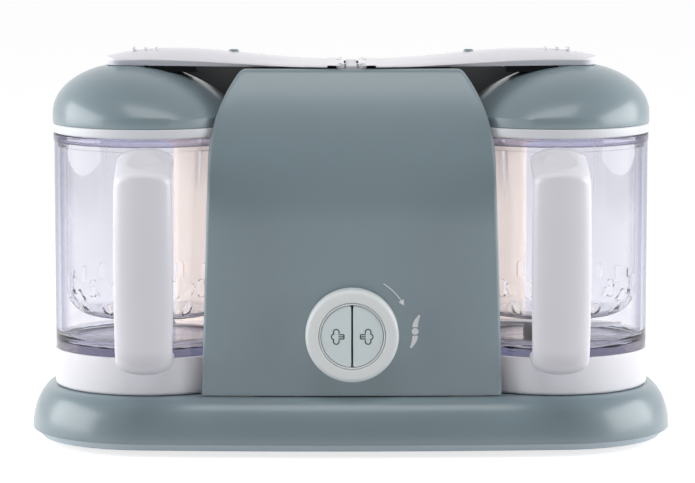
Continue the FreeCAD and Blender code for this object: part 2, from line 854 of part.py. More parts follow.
# Strap handle: an oval section along a path that bends at the top and the foot
def make_handles():
    x = bowl_x
    core = handle_front + handle_thick / 2
    high = lid_rim - handle_drop - handle_thick / 2
    low = skirt_top - handle_hang + handle_thick / 2
    root = bowl_y - bowl_radius + handle_thick / 2
    knee = V(x, core, high - handle_slope)
    back = V(x, root, high)
    slope = back - knee
    slope.normalize()
    half_turn = (math.pi / 2 - math.atan2(handle_slope, root - core)) / 2
    reach = handle_bend * math.tan(half_turn)
    start = knee + slope * reach
    end = knee - V(0, 0, reach)
    bend = tangent_arc(start, slope * -1, end)
    heel = V(x, core, low + handle_bend)
    toe = V(x, core + handle_bend, low)
    heel_mid = V(x, core + handle_bend * (1 - math.sqrt(0.5)), low + handle_bend * (1 - math.sqrt(0.5)))
    spine = Part.Wire([
        line(back, start),
        bend,
        line(end, heel),
        arc(heel, heel_mid, toe),
        line(toe, V(x, root, low)),
    ])
    across = V(0, slope.z, -slope.y)
    if across.z < 0:
        across = across * -1
    half_t = handle_thick / 2
    outline = Part.Wire(Part.Ellipse(V(0, 0, 0), handle_width / 2, half_t).toShape())
    tilt = FreeCAD.Rotation(V(1, 0, 0), across, slope, "XYZ")
    outline.Placement = FreeCAD.Placement(back, tilt)
    strap = spine.makePipeShell([outline], True, False)
    strap = strap.cut(rod(x, bowl_y, skirt_radius + seat_gap, 0, lid_rim))
    thumb = Part.makeSphere(1.0)
    grow = FreeCAD.Matrix()
    grow.scale(thumb_length / 2, thumb_width / 2, thumb_depth)
    thumb = thumb.transformGeometry(grow)
    thumb.Placement = FreeCAD.Placement(knee * thumb_place + back * (1 - thumb_place) + across * half_t,
                                        FreeCAD.Rotation(V(1, 0, 0), slope, across, "XYZ"))
    both("bowl_handle", strap.cut(thumb))


def make_knob():
    sleeve = rod_along_y(0, knob_z, sleeve_outer, ring_front + sleeve_recess, hub_back)
    flange_y = panel_front + panel_wall + run_gap
    extras = [rod_along_y(0, knob_z, hub_flange, flange_y, flange_y + hub_plate)]
    for x in (post_x, -post_x):
        extras.append(rod_along_y(x, knob_z, post_radius, flange_y + hub_plate / 2, board_y))
    hub = joined(sleeve, extras)
    plungers = (plunger_x, -plunger_x)
    holes = [rod_along_y(x, knob_z, plunger_radius + seat_gap, base_front, 0) for x in plungers]
    holes.append(rod_along_y(0, knob_z, sleeve_inner, ring_front, hub_back - hub_plate))
    nodes["knob_hub"] = hub.cut(holes)

    ring = tube_along_y(0, knob_z, ring_in, ring_radius, ring_front, ring_back)
    edges = []
    for edge in ring.Edges:
        box = edge.BoundBox
        if box.YMax < ring_front + 0.1 and box.XLength > 2 * ring_radius - 1:
            edges.append(edge)
    ring = ring.makeFillet(ring_round, edges)
    spring_in = ring_in + ring_spring_inset
    spring_out = spring_in + 2 * spring_wire
    spring_front = ring_back - ring_spring_length
    recess = tube_along_y(0, knob_z, spring_in - run_gap, spring_out + run_gap,
                          spring_front - run_gap, ring_back)
    nodes["control_ring"] = ring.cut(recess)
    nodes["ring_spring"] = tube_along_y(0, knob_z, spring_in, spring_out, spring_front, ring_back)

    disc = rod_along_y(0, knob_z, button_radius, button_face, button_face + button_thick)
    half = block(button_slit / 2, ring_radius, ring_front, 0, knob_z - ring_radius, knob_z + ring_radius)
    button = disc.common(half)
    front_edges = [edge for edge in button.Edges if edge.BoundBox.YMax < button_face + 0.1]
    button = button.makeFillet(button_edge, front_edges)
    plunger_end = hub_back + plunger_tail
    plunger = rod_along_y(plunger_x, knob_z, plunger_radius, button_face + button_thick - plunger_tail,
                          plunger_end)
    both("steam_button", joined(button, [plunger]))
    coil_in = plunger_radius + run_gap
    both("button_spring", tube_along_y(plunger_x, knob_z, coil_in, coil_in + spring_wire,
                                       button_face + button_thick, hub_back - hub_plate))

    board_half = post_x + board_margin
    board = block(-board_half, board_half, board_y, board_y + board_plate,
                  knob_z - board_height / 2, knob_z + board_height / 2)
    switch = plunger_end + button_travel + run_gap
    keys = []
    for x in plungers:
        keys.append(block(x - key_half, x + key_half, switch, board_y, knob_z - key_half, knob_z + key_half))
    nodes["switch_board"] = joined(board, keys)


# Belt loop round the two pulleys, grown by a margin
def belt_loop(margin):
    run = math.hypot(bowl_x, motor_y - bowl_y)
    aim = math.degrees(math.atan2(motor_y - bowl_y, -bowl_x))
    spread = math.degrees(math.acos((driven_pulley_radius - drive_pulley_radius) / run))
    big = driven_pulley_radius + margin
    small = drive_pulley_radius + margin
    a = polar(bowl_x, bowl_y, big, aim + spread, belt_z)
    b = polar(0, motor_y, small, aim + spread, belt_z)
    c = polar(0, motor_y, small, aim - spread, belt_z)
    d = polar(bowl_x, bowl_y, big, aim - spread, belt_z)
    edges = [
        line(a, b),
        arc(b, polar(0, motor_y, small, aim, belt_z), c),
        line(c, d),
        arc(d, polar(bowl_x, bowl_y, big, aim + 180, belt_z), a),
    ]
    return face(edges).extrude(V(0, 0, belt_width))


def pulley(x, y, radius, bore):
    low = belt_z - seat_gap
    high = belt_z + belt_width + seat_gap
    rim = radius + belt_thick + 2 * run_gap
    flanges = [rod(x, y, rim, low - pulley_flange, low), rod(x, y, rim, high, high + pulley_flange)]
    wheel = joined(rod(x, y, radius, low, high), flanges)
    return wheel.cut(rod(x, y, bore, 0, base_top))


def star(grow, low, high):
    points = []
    for i in range(2 * star_points):
        radius = (star_outer if i % 2 == 0 else star_inner) + grow
        points.append(polar(bowl_x, bowl_y, radius, 180 * i / star_points, low))
    return polygon(points).extrude(V(0, 0, high - low))


def make_drive():
    can_top = base_top + motor_height
    can = rod(0, motor_y, motor_radius, base_top, can_top)
    hollow = rod(0, motor_y, motor_radius - motor_wall, base_top + 2 * motor_wall, can_top - motor_wall)
    can = can.cut([hollow, rod(0, motor_y, bush_radius + fit_gap, 0, base_top + motor_height / 2)])
    nodes["motor_can"] = can
    bush_top = base_top + 4 * motor_wall
    bush = rod(0, motor_y, bush_radius, base_top - shell_wall, bush_top)
    nodes["motor_bush"] = bush.cut(rod(0, motor_y, motor_shaft_radius + fit_gap, 0, bush_top))
    shaft_foot = belt_z - pulley_flange - seat_gap
    core_low = bush_top + run_gap
    shaft = rod(0, motor_y, motor_shaft_radius, shaft_foot, core_low + armature_height + motor_shaft_tail)
    core = rod(0, motor_y, armature_radius, core_low, core_low + armature_height)
    nodes["motor_shaft"] = joined(shaft, [core])
    nodes["drive_pulley"] = pulley(0, motor_y, drive_pulley_radius, motor_shaft_radius + fit_gap)
    nodes["driven_pulley"] = pulley(bowl_x, bowl_y, driven_pulley_radius, spindle_radius + fit_gap)
    nodes["drive_belt"] = belt_loop(run_gap + belt_thick).cut(belt_loop(run_gap))
    bearing_top = base_top + bearing_proud
    nodes["drive_bearing"] = tube(bowl_x, bowl_y, spindle_radius + fit_gap, bearing_radius,
                                  base_top - bearing_length, bearing_top)
    head_low = bearing_top + run_gap
    head_top = head_low + coupling_height
    head = rod(bowl_x, bowl_y, coupling_radius, head_low, head_top)
    head = head.cut(star(seat_gap, head_top - star_depth, head_top))
    spindle = rod(bowl_x, bowl_y, spindle_radius, shaft_foot, head_low + pulley_flange)
    nodes["drive_coupling"] = joined(head, [spindle])
    collar_low = head_top + run_gap
    collar_top = head_top + coupling_collar
    driven = star(-seat_gap, head_top - star_depth + seat_gap, collar_top)
    driven = joined(driven, [rod(bowl_x, bowl_y, coupling_radius - coupling_step, collar_low, collar_top)])
    shaft_low = head_top - star_depth + seat_gap
    nodes["bowl_coupling"] = driven.cut(rod(bowl_x, bowl_y, shaft_radius + fit_gap, 0, lid_rim))
    web_bottom = skirt_top - skirt_web
    sleeve = rod(bowl_x, bowl_y, shaft_bush_radius, web_bottom, shaft_bush_top)
    lip = rod(bowl_x, bowl_y, shaft_bush_flange, web_bottom - shaft_bush_lip, web_bottom)
    bore = rod(bowl_x, bowl_y, shaft_radius + fit_gap, 0, lid_rim)
    nodes["shaft_bush"] = joined(sleeve, [lip]).cut(bore)
    hub = rod(bowl_x, bowl_y, hub_radius, hub_low, hub_top)
    hub_edges = [edge for edge in hub.Edges if edge.BoundBox.ZMin > hub_top - 0.1]
    nodes["blade_hub"] = hub.makeFillet(hub_edge, hub_edges).cut(bore)
    nodes["blade"] = blade_solid(hub_top).cut(bore)
    nut = rod(bowl_x, bowl_y, nut_radius, blade_top, nut_top)
    nut_edges = [edge for edge in nut.Edges if edge.BoundBox.ZMin > nut_top - 0.1]
    shaft_top = nut_top - nut_cap
    socket = rod(bowl_x, bowl_y, shaft_radius + fit_gap, 0, shaft_top)
    nodes["blade_nut"] = nut.makeFillet(nut_edge, nut_edges).cut(socket)
    nodes["blade_shaft"] = rod(bowl_x, bowl_y, shaft_radius, shaft_low, shaft_top)


# Two curved wings in an S round the hub
def blade_solid(z):
    wing = hub_radius / 2
    tip = V(blade_reach, 0, z)
    lead = [V(0, -wing, z), V(blade_reach * 0.55, -wing * 1.5, z), tip]
    trail = [tip, V(blade_reach * 0.5, -wing * 0.1, z), V(0, wing, z)]
    edges = [arc(*lead), arc(*trail), line(trail[2], lead[0])]
    plate = face(edges).extrude(V(0, 0, blade_plate))
    other = plate.copy()
    other.rotate(V(0, 0, 0), V(0, 0, 1), 180)
    blade = joined(plate, [other, rod(0, 0, wing, z, z + blade_plate)])
    blade.translate(V(bowl_x, bowl_y, 0))
    return blade


make_base()
make_front_panel()
make_column()
make_boilers()
make_lids()
make_arms()
make_bowls()
make_baskets()
make_handles()
make_knob()
make_drive()

os.makedirs("parts", exist_ok=True)
for name, shape in nodes.items():
    shape.exportStep("parts/" + name + ".step")
    box = shape.BoundBox
    print(name, len(shape.Solids), shape.isValid(), round(shape.Volume), [round(v, 1) for v in (
        box.XMin, box.XMax, box.YMin, box.YMax, box.ZMin, box.ZMax)])
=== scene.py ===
import math

import bmesh
import bpy
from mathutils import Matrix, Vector


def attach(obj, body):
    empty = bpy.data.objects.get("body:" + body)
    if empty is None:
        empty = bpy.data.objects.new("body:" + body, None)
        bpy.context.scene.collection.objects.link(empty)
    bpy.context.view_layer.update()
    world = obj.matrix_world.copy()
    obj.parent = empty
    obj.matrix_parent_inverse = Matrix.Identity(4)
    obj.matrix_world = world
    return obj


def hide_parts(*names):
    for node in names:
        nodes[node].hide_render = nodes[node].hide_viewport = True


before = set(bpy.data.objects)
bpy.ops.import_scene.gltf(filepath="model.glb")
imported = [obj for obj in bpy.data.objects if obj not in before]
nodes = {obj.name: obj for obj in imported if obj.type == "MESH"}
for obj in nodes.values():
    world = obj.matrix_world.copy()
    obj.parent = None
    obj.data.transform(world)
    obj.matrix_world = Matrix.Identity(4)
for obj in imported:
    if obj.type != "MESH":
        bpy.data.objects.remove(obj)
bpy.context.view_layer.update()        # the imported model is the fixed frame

mm = 0.001
crisp = 32               # degrees: a sharper corner is shaded as an edge
scene = bpy.context.scene
print("frame loaded:", len(nodes), "nodes")


def hexLinear(code):
    parts = [int(code[i:i + 2], 16) / 255 for i in (1, 3, 5)]
    linear = [c / 12.92 if c <= 0.04045 else ((c + 0.055) / 1.055) ** 2.4 for c in parts]
    return (*linear, 1.0)


# A link's source is a socket, or a node that stands for its first live output
def addNode(tree, kind, inputs=None, links=None, **settings):
    node = tree.nodes.new(kind)
    for name, value in settings.items():
        setattr(node, name, value)
    for key, value in (inputs or {}).items():
        node.inputs[key].default_value = value
    for key, source in (links or {}).items():
        if isinstance(source, bpy.types.Node):
            source = next(socket for socket in source.outputs if socket.enabled)
        tree.links.new(source, node.inputs[key])
    return node


def startMaterial(name):
    material = bpy.data.materials.new(name)
    material.use_nodes = True
    material.node_tree.nodes.clear()
    return material, material.node_tree


# A solid finish: one colour with a slow drift, and a fine grain that makes gloss and surface uneven
# The real grain is about 0.3 mm; it is drawn at 0.6 mm or more so that it shows
def solidFinish(name, colour, shade, **given):
    look = {"grainMm": 0.9, "details": (3.0, 2.0), "stretch": (1.0, 1.0, 1.0), "roughDrift": 0.05, "bump": 0.06,
            "metal": 0.0, "ior": 1.5, "coat": 0.0, "coatRough": 0.2, **given}
    material, tree = startMaterial(name)
    spot = addNode(tree, "ShaderNodeTexCoord").outputs["Object"]
    spread = addNode(tree, "ShaderNodeMapping", {"Scale": look["stretch"]}, {"Vector": spot})
    drift, grain = (addNode(tree, "ShaderNodeTexNoise", {"Scale": 1 / (size * mm), "Detail": detail},
                            {"Vector": spread})
                    for size, detail in zip((look["driftMm"], look["grainMm"]), look["details"]))
    tint = addNode(tree, "ShaderNodeMix", {"A": hexLinear(colour), "B": hexLinear(shade)}, {"Factor": drift},
                   data_type="RGBA")
    gloss = addNode(tree, "ShaderNodeMapRange", {"To Min": look["rough"] - look["roughDrift"],
                                                 "To Max": look["rough"] + look["roughDrift"]}, {"Value": grain})
    bump = addNode(tree, "ShaderNodeBump", {"Strength": look["bump"], "Distance": look["grainMm"] * mm / 4},
                   {"Height": grain})
    shader = addNode(tree, "ShaderNodeBsdfPrincipled",
                     {"Metallic": look["metal"], "IOR": look["ior"], "Coat Weight": look["coat"],
                      "Coat Roughness": look["coatRough"]},
                     {"Base Color": tint, "Roughness": gloss, "Normal": bump})
    addNode(tree, "ShaderNodeOutputMaterial", links={"Surface": shader})
    return material


greyAbs = solidFinish(      # lacquered ABS: a cool grey with soft, wide highlights
    "satinGreyAbs", "#8A9BA2", "#82949B", driftMm=90, rough=0.34, roughDrift=0.03, bump=0.05, coat=0.45)
paleGreyAbs = solidFinish(      # unlacquered ABS of the pan: lighter and flatter
    "paleGreyAbs", "#D8E6EE", "#D0DFE8", driftMm=60, grainMm=1.0, rough=0.48, bump=0.08)
whiteAbs = solidFinish(      # polished white ABS: cool white, clear soft reflections
    "glossWhiteAbs", "#EFEEF4", "#EAE9F0", driftMm=70, grainMm=1.4, rough=0.24, roughDrift=0.03, bump=0.03)
satinWhiteAbs = solidFinish(      # finely etched white ABS of the collars, the hinge block and the knob's hub; on the collars this greyer white is partly painted shade
    "satinWhiteAbs", "#E4E6EB", "#DDE0E5", driftMm=50, rough=0.36, roughDrift=0.04)
ringAbs = solidFinish(      # the ring: whiter than the collars, with the same fine etch
    "etchedWhiteAbs", "#F6FAFA", "#F1F6F6", driftMm=40, rough=0.38, roughDrift=0.04)
buttonAbs = solidFinish(      # the buttons: a shade greyer and greener than the ring
    "paleButtonAbs", "#EAF5F6", "#E2EEEF", driftMm=30, rough=0.38, roughDrift=0.04)
creamPp = solidFinish(      # warm off-white wall behind the bowls, waxy
    "creamPolypropylene", "#FFF1E1", "#FCEDDC", driftMm=80, grainMm=1.1, rough=0.45, ior=1.49)
blackPom = solidFinish(      # acetal hub and couplings: near black, dull sheen
    "blackAcetal", "#17181B", "#202226", driftMm=20, grainMm=0.8, rough=0.35, roughDrift=0.06, bump=0.08, ior=1.48)
paintedShadeNylon = solidFinish(      # heat-proof deck under the arms, partly painted shade: drawn near black with a dulled sheen for the shadow under the arms
    "glassNylonPaintedShade", "#0A0D10", "#0E1215", driftMm=40, rough=0.6, bump=0.1, ior=1.28)
softRubber = solidFinish(      # feet, belt and gland: charcoal, no highlight
    "mattRubber", "#2A2C2F", "#33363A", driftMm=15, rough=0.78, roughDrift=0.08, bump=0.15, ior=1.52)
milkSilicone = solidFinish(      # seals: translucent grey-white, dull
    "milkySilicone", "#D3D4D6", "#C7C9CB", driftMm=25, grainMm=1.0, rough=0.55, ior=1.41)
boardResist = solidFinish(      # coated glass-fibre board: deep green, slight gloss
    "solderResist", "#1F5B38", "#26693F", driftMm=12, grainMm=0.8, rough=0.4, bump=0.08)
greyInk = solidFinish(      # pad-printed signs: flat dark grey ink
    "greyPrint", "#3E4A50", "#374349", driftMm=10, grainMm=0.6, rough=0.6, bump=0.05)
whiteInk = solidFinish(      # pad-printed signs: flat white ink
    "whitePrint", "#F4F6F7", "#EDF0F1", driftMm=10, grainMm=0.6, rough=0.55, bump=0.05)

metal = {"metal": 1.0, "details": (4.0, 4.0), "roughDrift": 0.08}     # the grain is the lines left by working
brushedSteel = solidFinish(      # drawn stainless: grey, lines round the vertical axis
    "brushedStainless", "#C9CACC", "#B2B4B8", driftMm=0.7, grainMm=0.7, rough=0.3, stretch=(1.0, 1.0, 12.0),
    **metal)
zincSteel = solidFinish(      # plated motor parts: dull, slightly yellow-grey
    "zincPlatedSteel", "#9B9C9A", "#84868A", driftMm=1.0, grainMm=1.0, rough=0.44, **metal)
sinteredBronze = solidFinish(      # bearing bushes: dull warm metal
    "sinteredBronze", "#B89A5E", "#A2854C", driftMm=0.8, grainMm=0.8, rough=0.47, **metal)


# Clear plastic: polished walls that bend what is behind them, with a darker edge colour mixed in where they are
# seen at a slant: partly their own tint, partly painted shade for the dark reflections along their edges
def clearPlastic(name, colour, edge, **given):
    look = {"rough": 0.0, "shadow": "#FDFDFE", "flow": 1.0, "waveHeight": 0.04, "waveDepthMm": 0.4, **given}
    material, tree = startMaterial(name)
    spot = addNode(tree, "ShaderNodeTexCoord").outputs["Object"]
    flow = addNode(tree, "ShaderNodeMapping", {"Scale": (1.0, 1.0, look["flow"])}, {"Vector": spot})
    waves = addNode(tree, "ShaderNodeTexNoise", {"Scale": 1 / (look["waveMm"] * mm), "Detail": 1.0},
                    {"Vector": flow})
    bump = addNode(tree, "ShaderNodeBump", {"Strength": look["waveHeight"], "Distance": look["waveDepthMm"] * mm},
                   {"Height": waves})
    edgeShadeFacing = addNode(tree, "ShaderNodeLayerWeight", {"Blend": 0.5}).outputs["Facing"]
    share = addNode(tree, "ShaderNodeMapRange", {"From Min": look["slant"][0], "From Max": look["slant"][1]},
                    {"Value": edgeShadeFacing})
    # painted shade: the edge colour is mixed in where the wall is seen at a slant
    tint = addNode(tree, "ShaderNodeMix", {"A": hexLinear(colour), "B": hexLinear(edge)}, {"Factor": share},
                   data_type="RGBA")
    shader = addNode(tree, "ShaderNodeBsdfPrincipled",
                     {"Roughness": look["rough"], "IOR": look["ior"], "Transmission Weight": 1.0},
                     {"Base Color": tint, "Normal": bump})
    through = addNode(tree, "ShaderNodeBsdfTransparent", {"Color": hexLinear(look["shadow"])})
    lit = addNode(tree, "ShaderNodeLightPath").outputs["Is Shadow Ray"]     # lamps reach what is inside
    mixed = addNode(tree, "ShaderNodeMixShader", {}, {0: lit, 1: shader, 2: through})
    body = addNode(tree, "ShaderNodeVolumeAbsorption",
                   {"Color": hexLinear(look["body"]), "Density": look["density"]})
    addNode(tree, "ShaderNodeOutputMaterial", links={"Surface": mixed, "Volume": body})
    return material


clearBowl = clearPlastic(      # moulded copolyester wall: clear, faint violet along its edges, partly its own tint and partly painted shade for the dark reflections there
    "clearCopolyester", "#F0F0F4", "#666A90", slant=(0.5, 0.8), ior=1.4, waveMm=30, body="#BEBCD6", density=14.0)
paintedShadeRim = clearPlastic(      # the bowl's rim bead: the same plastic drawn greyer and far denser violet, painted shade for the dark reflections in the thick rim
    "rimCopolyesterPaintedShade", "#C9C8DC", "#5E5E82", slant=(0.3, 0.8), ior=1.5, waveMm=9, waveHeight=0.2, shadow="#F6F6FB",
    body="#7C78A8", density=70.0)
clearFootPaintedShade = clearPlastic(      # the bowl's thick foot: flow lines from moulding bend what is seen; it is drawn a denser, darker violet than the wall, partly painted shade
    "footCopolyesterPaintedShade", "#EEEEF6", "#5E5E82", slant=(0.4, 0.9), ior=1.45, waveMm=14, waveHeight=1.0, flow=6.0,
    shadow="#F6F6FB", body="#7F7EA8", density=20.0)
clearBasket = clearPlastic(      # thin polypropylene: nearly unseen but for its edges, which take a faint painted grey shade, slightly hazy
    "clearPolypropylene", "#FDFDFE", "#C6C8D6", slant=(0.6, 0.95), rough=0.03, ior=1.13, waveMm=18, body="#D2D0DC",
    density=4.0)
print("materials ready")


# Mesh helpers, all in millimetres until buildPiece turns them to metres
def arcPoints(cx, cy, radius, start, end, steps):
    turns = [math.radians(start + (end - start) * i / steps) for i in range(steps + 1)]
    return [(cx + radius * math.cos(t), cy + radius * math.sin(t)) for t in turns]


# Sine and cosine along a quarter turn
def quarterTurn(steps):
    turns = [math.radians(90 * k / steps) for k in range(steps + 1)]
    return [(math.sin(t), math.cos(t)) for t in turns]


# Corners (a, b, fillet) become a line whose filleted corners are arcs
def roundCorners(corners, steps=6):
    line = []
    for i, (a, b, fillet) in enumerate(corners):
        if not fillet:
            line.append((a, b))
            continue
        here = Vector((a, b))
        before = (Vector(corners[i - 1][:2]) - here).normalized()
        after = (Vector(corners[(i + 1) % len(corners)][:2]) - here).normalized()
        half = before.angle(after) / 2
        reach = fillet / math.tan(half)
        centre = here + (before + after).normalized() * (fillet / math.sin(half))
        first = here + before * reach - centre
        last = here + after * reach - centre
        sweep = math.pi - 2 * half
        for k in range(steps + 1):
            share = sweep * k / steps
            spoke = (first * math.sin(sweep - share) + last * math.sin(share)) / math.sin(sweep)
            line.append((centre.x + spoke.x, centre.y + spoke.y))
    return line


# A rectangle whose corners, from low left round to high left, have these fillets
def roundBox(low, high, fillets):
    (a, b), (c, d) = low, high
    return roundCorners([(*spot, fillet) for spot, fillet in zip(((a, b), (c, b), (c, d), (a, d)), fillets)])


# Rings of points with equal counts become a skin; the ends are closed with flat faces
def skinRings(rings, capStart=True, capEnd=True, closed=True):
    count = len(rings[0])
    points = [p for ring in rings for p in ring]
    faces = []
    for r in range(len(rings) - 1):
        for i in range(count if closed else count - 1):
            j = (i + 1) % count
            faces.append((r * count + i, r * count + j, (r + 1) * count + j, (r + 1) * count + i))
    if capStart:
        faces.append(tuple(range(count - 1, -1, -1)))
    if capEnd:
        faces.append(tuple(range((len(rings) - 1) * count, len(rings) * count)))
    return points, faces


# A (radius, height) line is turned about an upright axis or one along Y; it is open if it starts on the axis
def turnLine(line, centre, steps, along="z"):
    rings = []
    for k in range(steps):
        c, s = math.cos(2 * math.pi * k / steps), math.sin(2 * math.pi * k / steps)
        spots = [(centre[0] + r * c, centre[1] + r * s, h) for r, h in line]
        rings.append(spots if along == "z" else [(x, h, z) for x, z, h in spots])
    rings.append(rings[0])
    return skinRings(rings, False, False, line[0][0] > 0)


# A turned piece's dictionary gives its line as corners (radius, height, fillet)
def turnPiece(piece, centre, along="z", bend=6):
    return turnLine(roundCorners(piece["line"], bend), centre, piece["steps"], along)


def rodShape(centre, radius, low, high, along="z", steps=48):
    return turnLine([(0, low), (radius, low), (radius, high), (0, high)], centre, steps, along)


def boxShape(low, high):
    (x0, y0, z0), (x1, y1, z1) = low, high
    return skinRings([[(x0, y0, z), (x1, y0, z), (x1, y1, z), (x0, y1, z)] for z in (z0, z1)])


def joinShapes(shapes):
    points, faces = [], []
    for shapePoints, shapeFaces in shapes:
        start = len(points)
        points += shapePoints
        faces += [tuple(start + i for i in f) for f in shapeFaces]
    return points, faces


def mirrorShape(shape):
    points, faces = shape
    return [(-x, y, z) for x, y, z in points], [tuple(reversed(f)) for f in faces]


def bothSides(*shapes):
    return (("right", *shapes), ("left", *(mirrorShape(s) for s in shapes)))


mesh = {"merge": 0.005, "sliver": 0.002}        # closer points become one, and thinner faces go


# Merges doubles, turns faces outwards, sets smooth shading with crisp corners
def buildPiece(name, shape, material, sharp=crisp):
    points, faces = shape
    data = bpy.data.meshes.new(name)
    data.from_pydata([(x * mm, y * mm, z * mm) for x, y, z in points], [], faces)
    work = bmesh.new()
    work.from_mesh(data)
    bmesh.ops.remove_doubles(work, verts=work.verts, dist=mesh["merge"] * mm)
    bmesh.ops.dissolve_degenerate(work, edges=work.edges, dist=mesh["sliver"] * mm)
    bmesh.ops.recalc_face_normals(work, faces=work.faces)
    work.to_mesh(data)
    work.free()
    data.shade_smooth()
    data.set_sharp_from_angle(angle=math.radians(sharp))
    data.materials.append(material)
    piece = bpy.data.objects.new(name, data)
    scene.collection.objects.link(piece)
    return piece


# Runs a piece's modifiers into its mesh and drops them
def settle(piece, sharp=crisp):
    bpy.context.view_layer.update()
    graph = bpy.context.evaluated_depsgraph_get()
    data = bpy.data.meshes.new_from_object(piece.evaluated_get(graph))
    piece.modifiers.clear()
    piece.data = data
    data.shade_smooth()
    data.set_sharp_from_angle(angle=math.radians(sharp))


# Cuts tools out of a piece, or joins them on
def carve(piece, tools, operation="DIFFERENCE", sharp=crisp):
    for tool in tools:
        cutter = piece.modifiers.new("carve", "BOOLEAN")
        cutter.operation = operation
        cutter.object = tool
        cutter.solver = "EXACT"
    settle(piece, sharp)
    for tool in tools:
        bpy.data.objects.remove(tool)


# Joins finished pieces into the first one, each with its own material
def weld(piece, parts):
    work = bmesh.new()
    work.from_mesh(piece.data)
    for index, part in enumerate(parts, 1):
        piece.data.materials.append(part.data.materials[0])
        known = set(work.faces)
        work.from_mesh(part.data)
        for face in work.faces:
            if face not in known:
                face.material_index = index
        bpy.data.objects.remove(part)
    work.to_mesh(piece.data)
    work.free()


def place(piece, body, slot, *replaced):
    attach(piece, body)
    if replaced:
        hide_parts(*replaced)


# The shape makes the right piece and its mirror the left one; the body's and node's names take the side
def placePair(name, shape, material, body, slot, node, sharp=crisp):
    for side, form in bothSides(shape):
        replaced = [node + side] if node else []
        place(buildPiece(name + side, form, material, sharp), body.format(side), slot, *replaced)


# Geometry Nodes: the piece is repeated along a step while it turns about the upright axis
def repeatTree():
    tree = bpy.data.node_groups.new("repeatAlong", "GeometryNodeTree")
    tree.interface.new_socket("Geometry", in_out="INPUT", socket_type="NodeSocketGeometry")
    for label, kind in (("Count", "NodeSocketInt"), ("Step", "NodeSocketVector"), ("Turn", "NodeSocketFloat"),
                        ("Material", "NodeSocketMaterial")):
        tree.interface.new_socket(label, in_out="INPUT", socket_type=kind)
    tree.interface.new_socket("Geometry", in_out="OUTPUT", socket_type="NodeSocketGeometry")
    given = addNode(tree, "NodeGroupInput").outputs
    row = addNode(tree, "GeometryNodeMeshLine", {}, {"Count": given["Count"], "Offset": given["Step"]},
                  mode="OFFSET")
    index = addNode(tree, "GeometryNodeInputIndex")
    turn = addNode(tree, "ShaderNodeMath", {}, {0: index, 1: given["Turn"]}, operation="MULTIPLY")
    spin = addNode(tree, "ShaderNodeCombineXYZ", {}, {"Z": turn})
    copies = addNode(tree, "GeometryNodeInstanceOnPoints", {}, {"Points": row, "Instance": given["Geometry"],
                                                               "Rotation": spin})
    real = addNode(tree, "GeometryNodeRealizeInstances", {}, {"Geometry": copies})
    dressed = addNode(tree, "GeometryNodeSetMaterial", {}, {"Geometry": real, "Material": given["Material"]})
    addNode(tree, "NodeGroupOutput", {}, {"Geometry": dressed})
    return tree


repeatAlong = repeatTree()
socketOf = {item.name: item.identifier for item in repeatAlong.interface.items_tree if item.in_out == "INPUT"}


# Repeats a shape drawn about the origin, then moves the row to its place
def repeated(name, shape, material, count, step, turn, start):
    piece = buildPiece(name, shape, material)
    rows = piece.modifiers.new("repeat", "NODES")
    rows.node_group = repeatAlong
    rows[socketOf["Count"]] = count
    rows[socketOf["Step"]] = [v * mm for v in step]
    rows[socketOf["Turn"]] = math.radians(turn)
    rows[socketOf["Material"]] = material
    settle(piece)
    for vertex in piece.data.vertices:
        vertex.co += Vector(start) * mm
    return piece


bowlX, bowlY = 126.0, -16.0     # the right bowl's axis; the left side mirrors it

base = {"corner": 59.5, "bow": 4.6, "flare": 14.5, "back": 115.0, "rear": 104.5, "top": 36.0, "foot": 8.5,
        "footRound": 0.8}
locator = {"steps": 96, "line": ((53.8, 35.0, 0), (56.7, 35.0, 0), (56.7, 41.0, 0.8), (53.8, 41.0, 0.8))}
bowReach = base["corner"] + base["bow"]
bowRadius = (bowReach ** 2 + bowlX ** 2 - base["corner"] ** 2) / (2 * base["bow"])
bowCentre = bowlY - bowReach + bowRadius


# Plan of the base, from the middle of the front round the right side, then its mirror
def baseOutline(out):
    turn = math.degrees(math.atan2(bowlY - bowCentre, bowlX))
    corner, rear = base["corner"] + out, base["rear"] + out
    side, back = bowlX + corner, base["back"] - base["flare"] + out
    half = arcPoints(0, bowCentre, bowRadius + out, -90, turn, steps=10)
    half += arcPoints(bowlX, bowlY, corner, turn, 0, steps=20)[1:]
    half += arcPoints(side - rear, back - rear, rear, 0, 90, steps=14)
    half.append((0, back))
    return half + [(-x, y) for x, y in reversed(half[1:-1])]


def makeBase():
    top, foot, flare, soft = (base[k] for k in ("top", "foot", "flare", "footRound"))
    levels = [(flare * s, max(top - (top - foot) * (1 - c), foot + soft))      # the flare is a quarter ellipse
              for s, c in quarterTurn(steps=16)]
    levels += [(flare - soft * (1 - c), foot + soft * (1 - s)) for s, c in quarterTurn(steps=4)[1:]]
    rings = [[(x, y, z) for x, y in baseOutline(out)] for out, z in levels]
    rims = [turnPiece(locator, (x, bowlY)) for x in (bowlX, -bowlX)]      # each bowl sits on one
    shell = buildPiece("baseShell", joinShapes([skinRings(rings)] + rims), greyAbs)
    place(shell, "housing", "body_grey", "base_shell")


feet = {"x": 150.0, "rows": (-50.0, 65.0), "steps": 48,
        "line": ((0, 0.7, 0), (4.5, 0.7, 0.4), (5.5, 0, 0.4), (8.0, 0, 0.8), (9.0, 4.0, 0), (0, 4.0, 0))}


def makeFeet():
    shape = turnPiece(feet, (0, 0), bend=4)
    rows = [repeated("rubberFeet", shape, softRubber, 2, (-2 * feet["x"], 0, 0), 0, (feet["x"], y, 0))
            for y in feet["rows"]]
    carve(rows[0], rows[1:], "UNION")
    place(rows[0], "housing", "rubber", "rubber_feet")


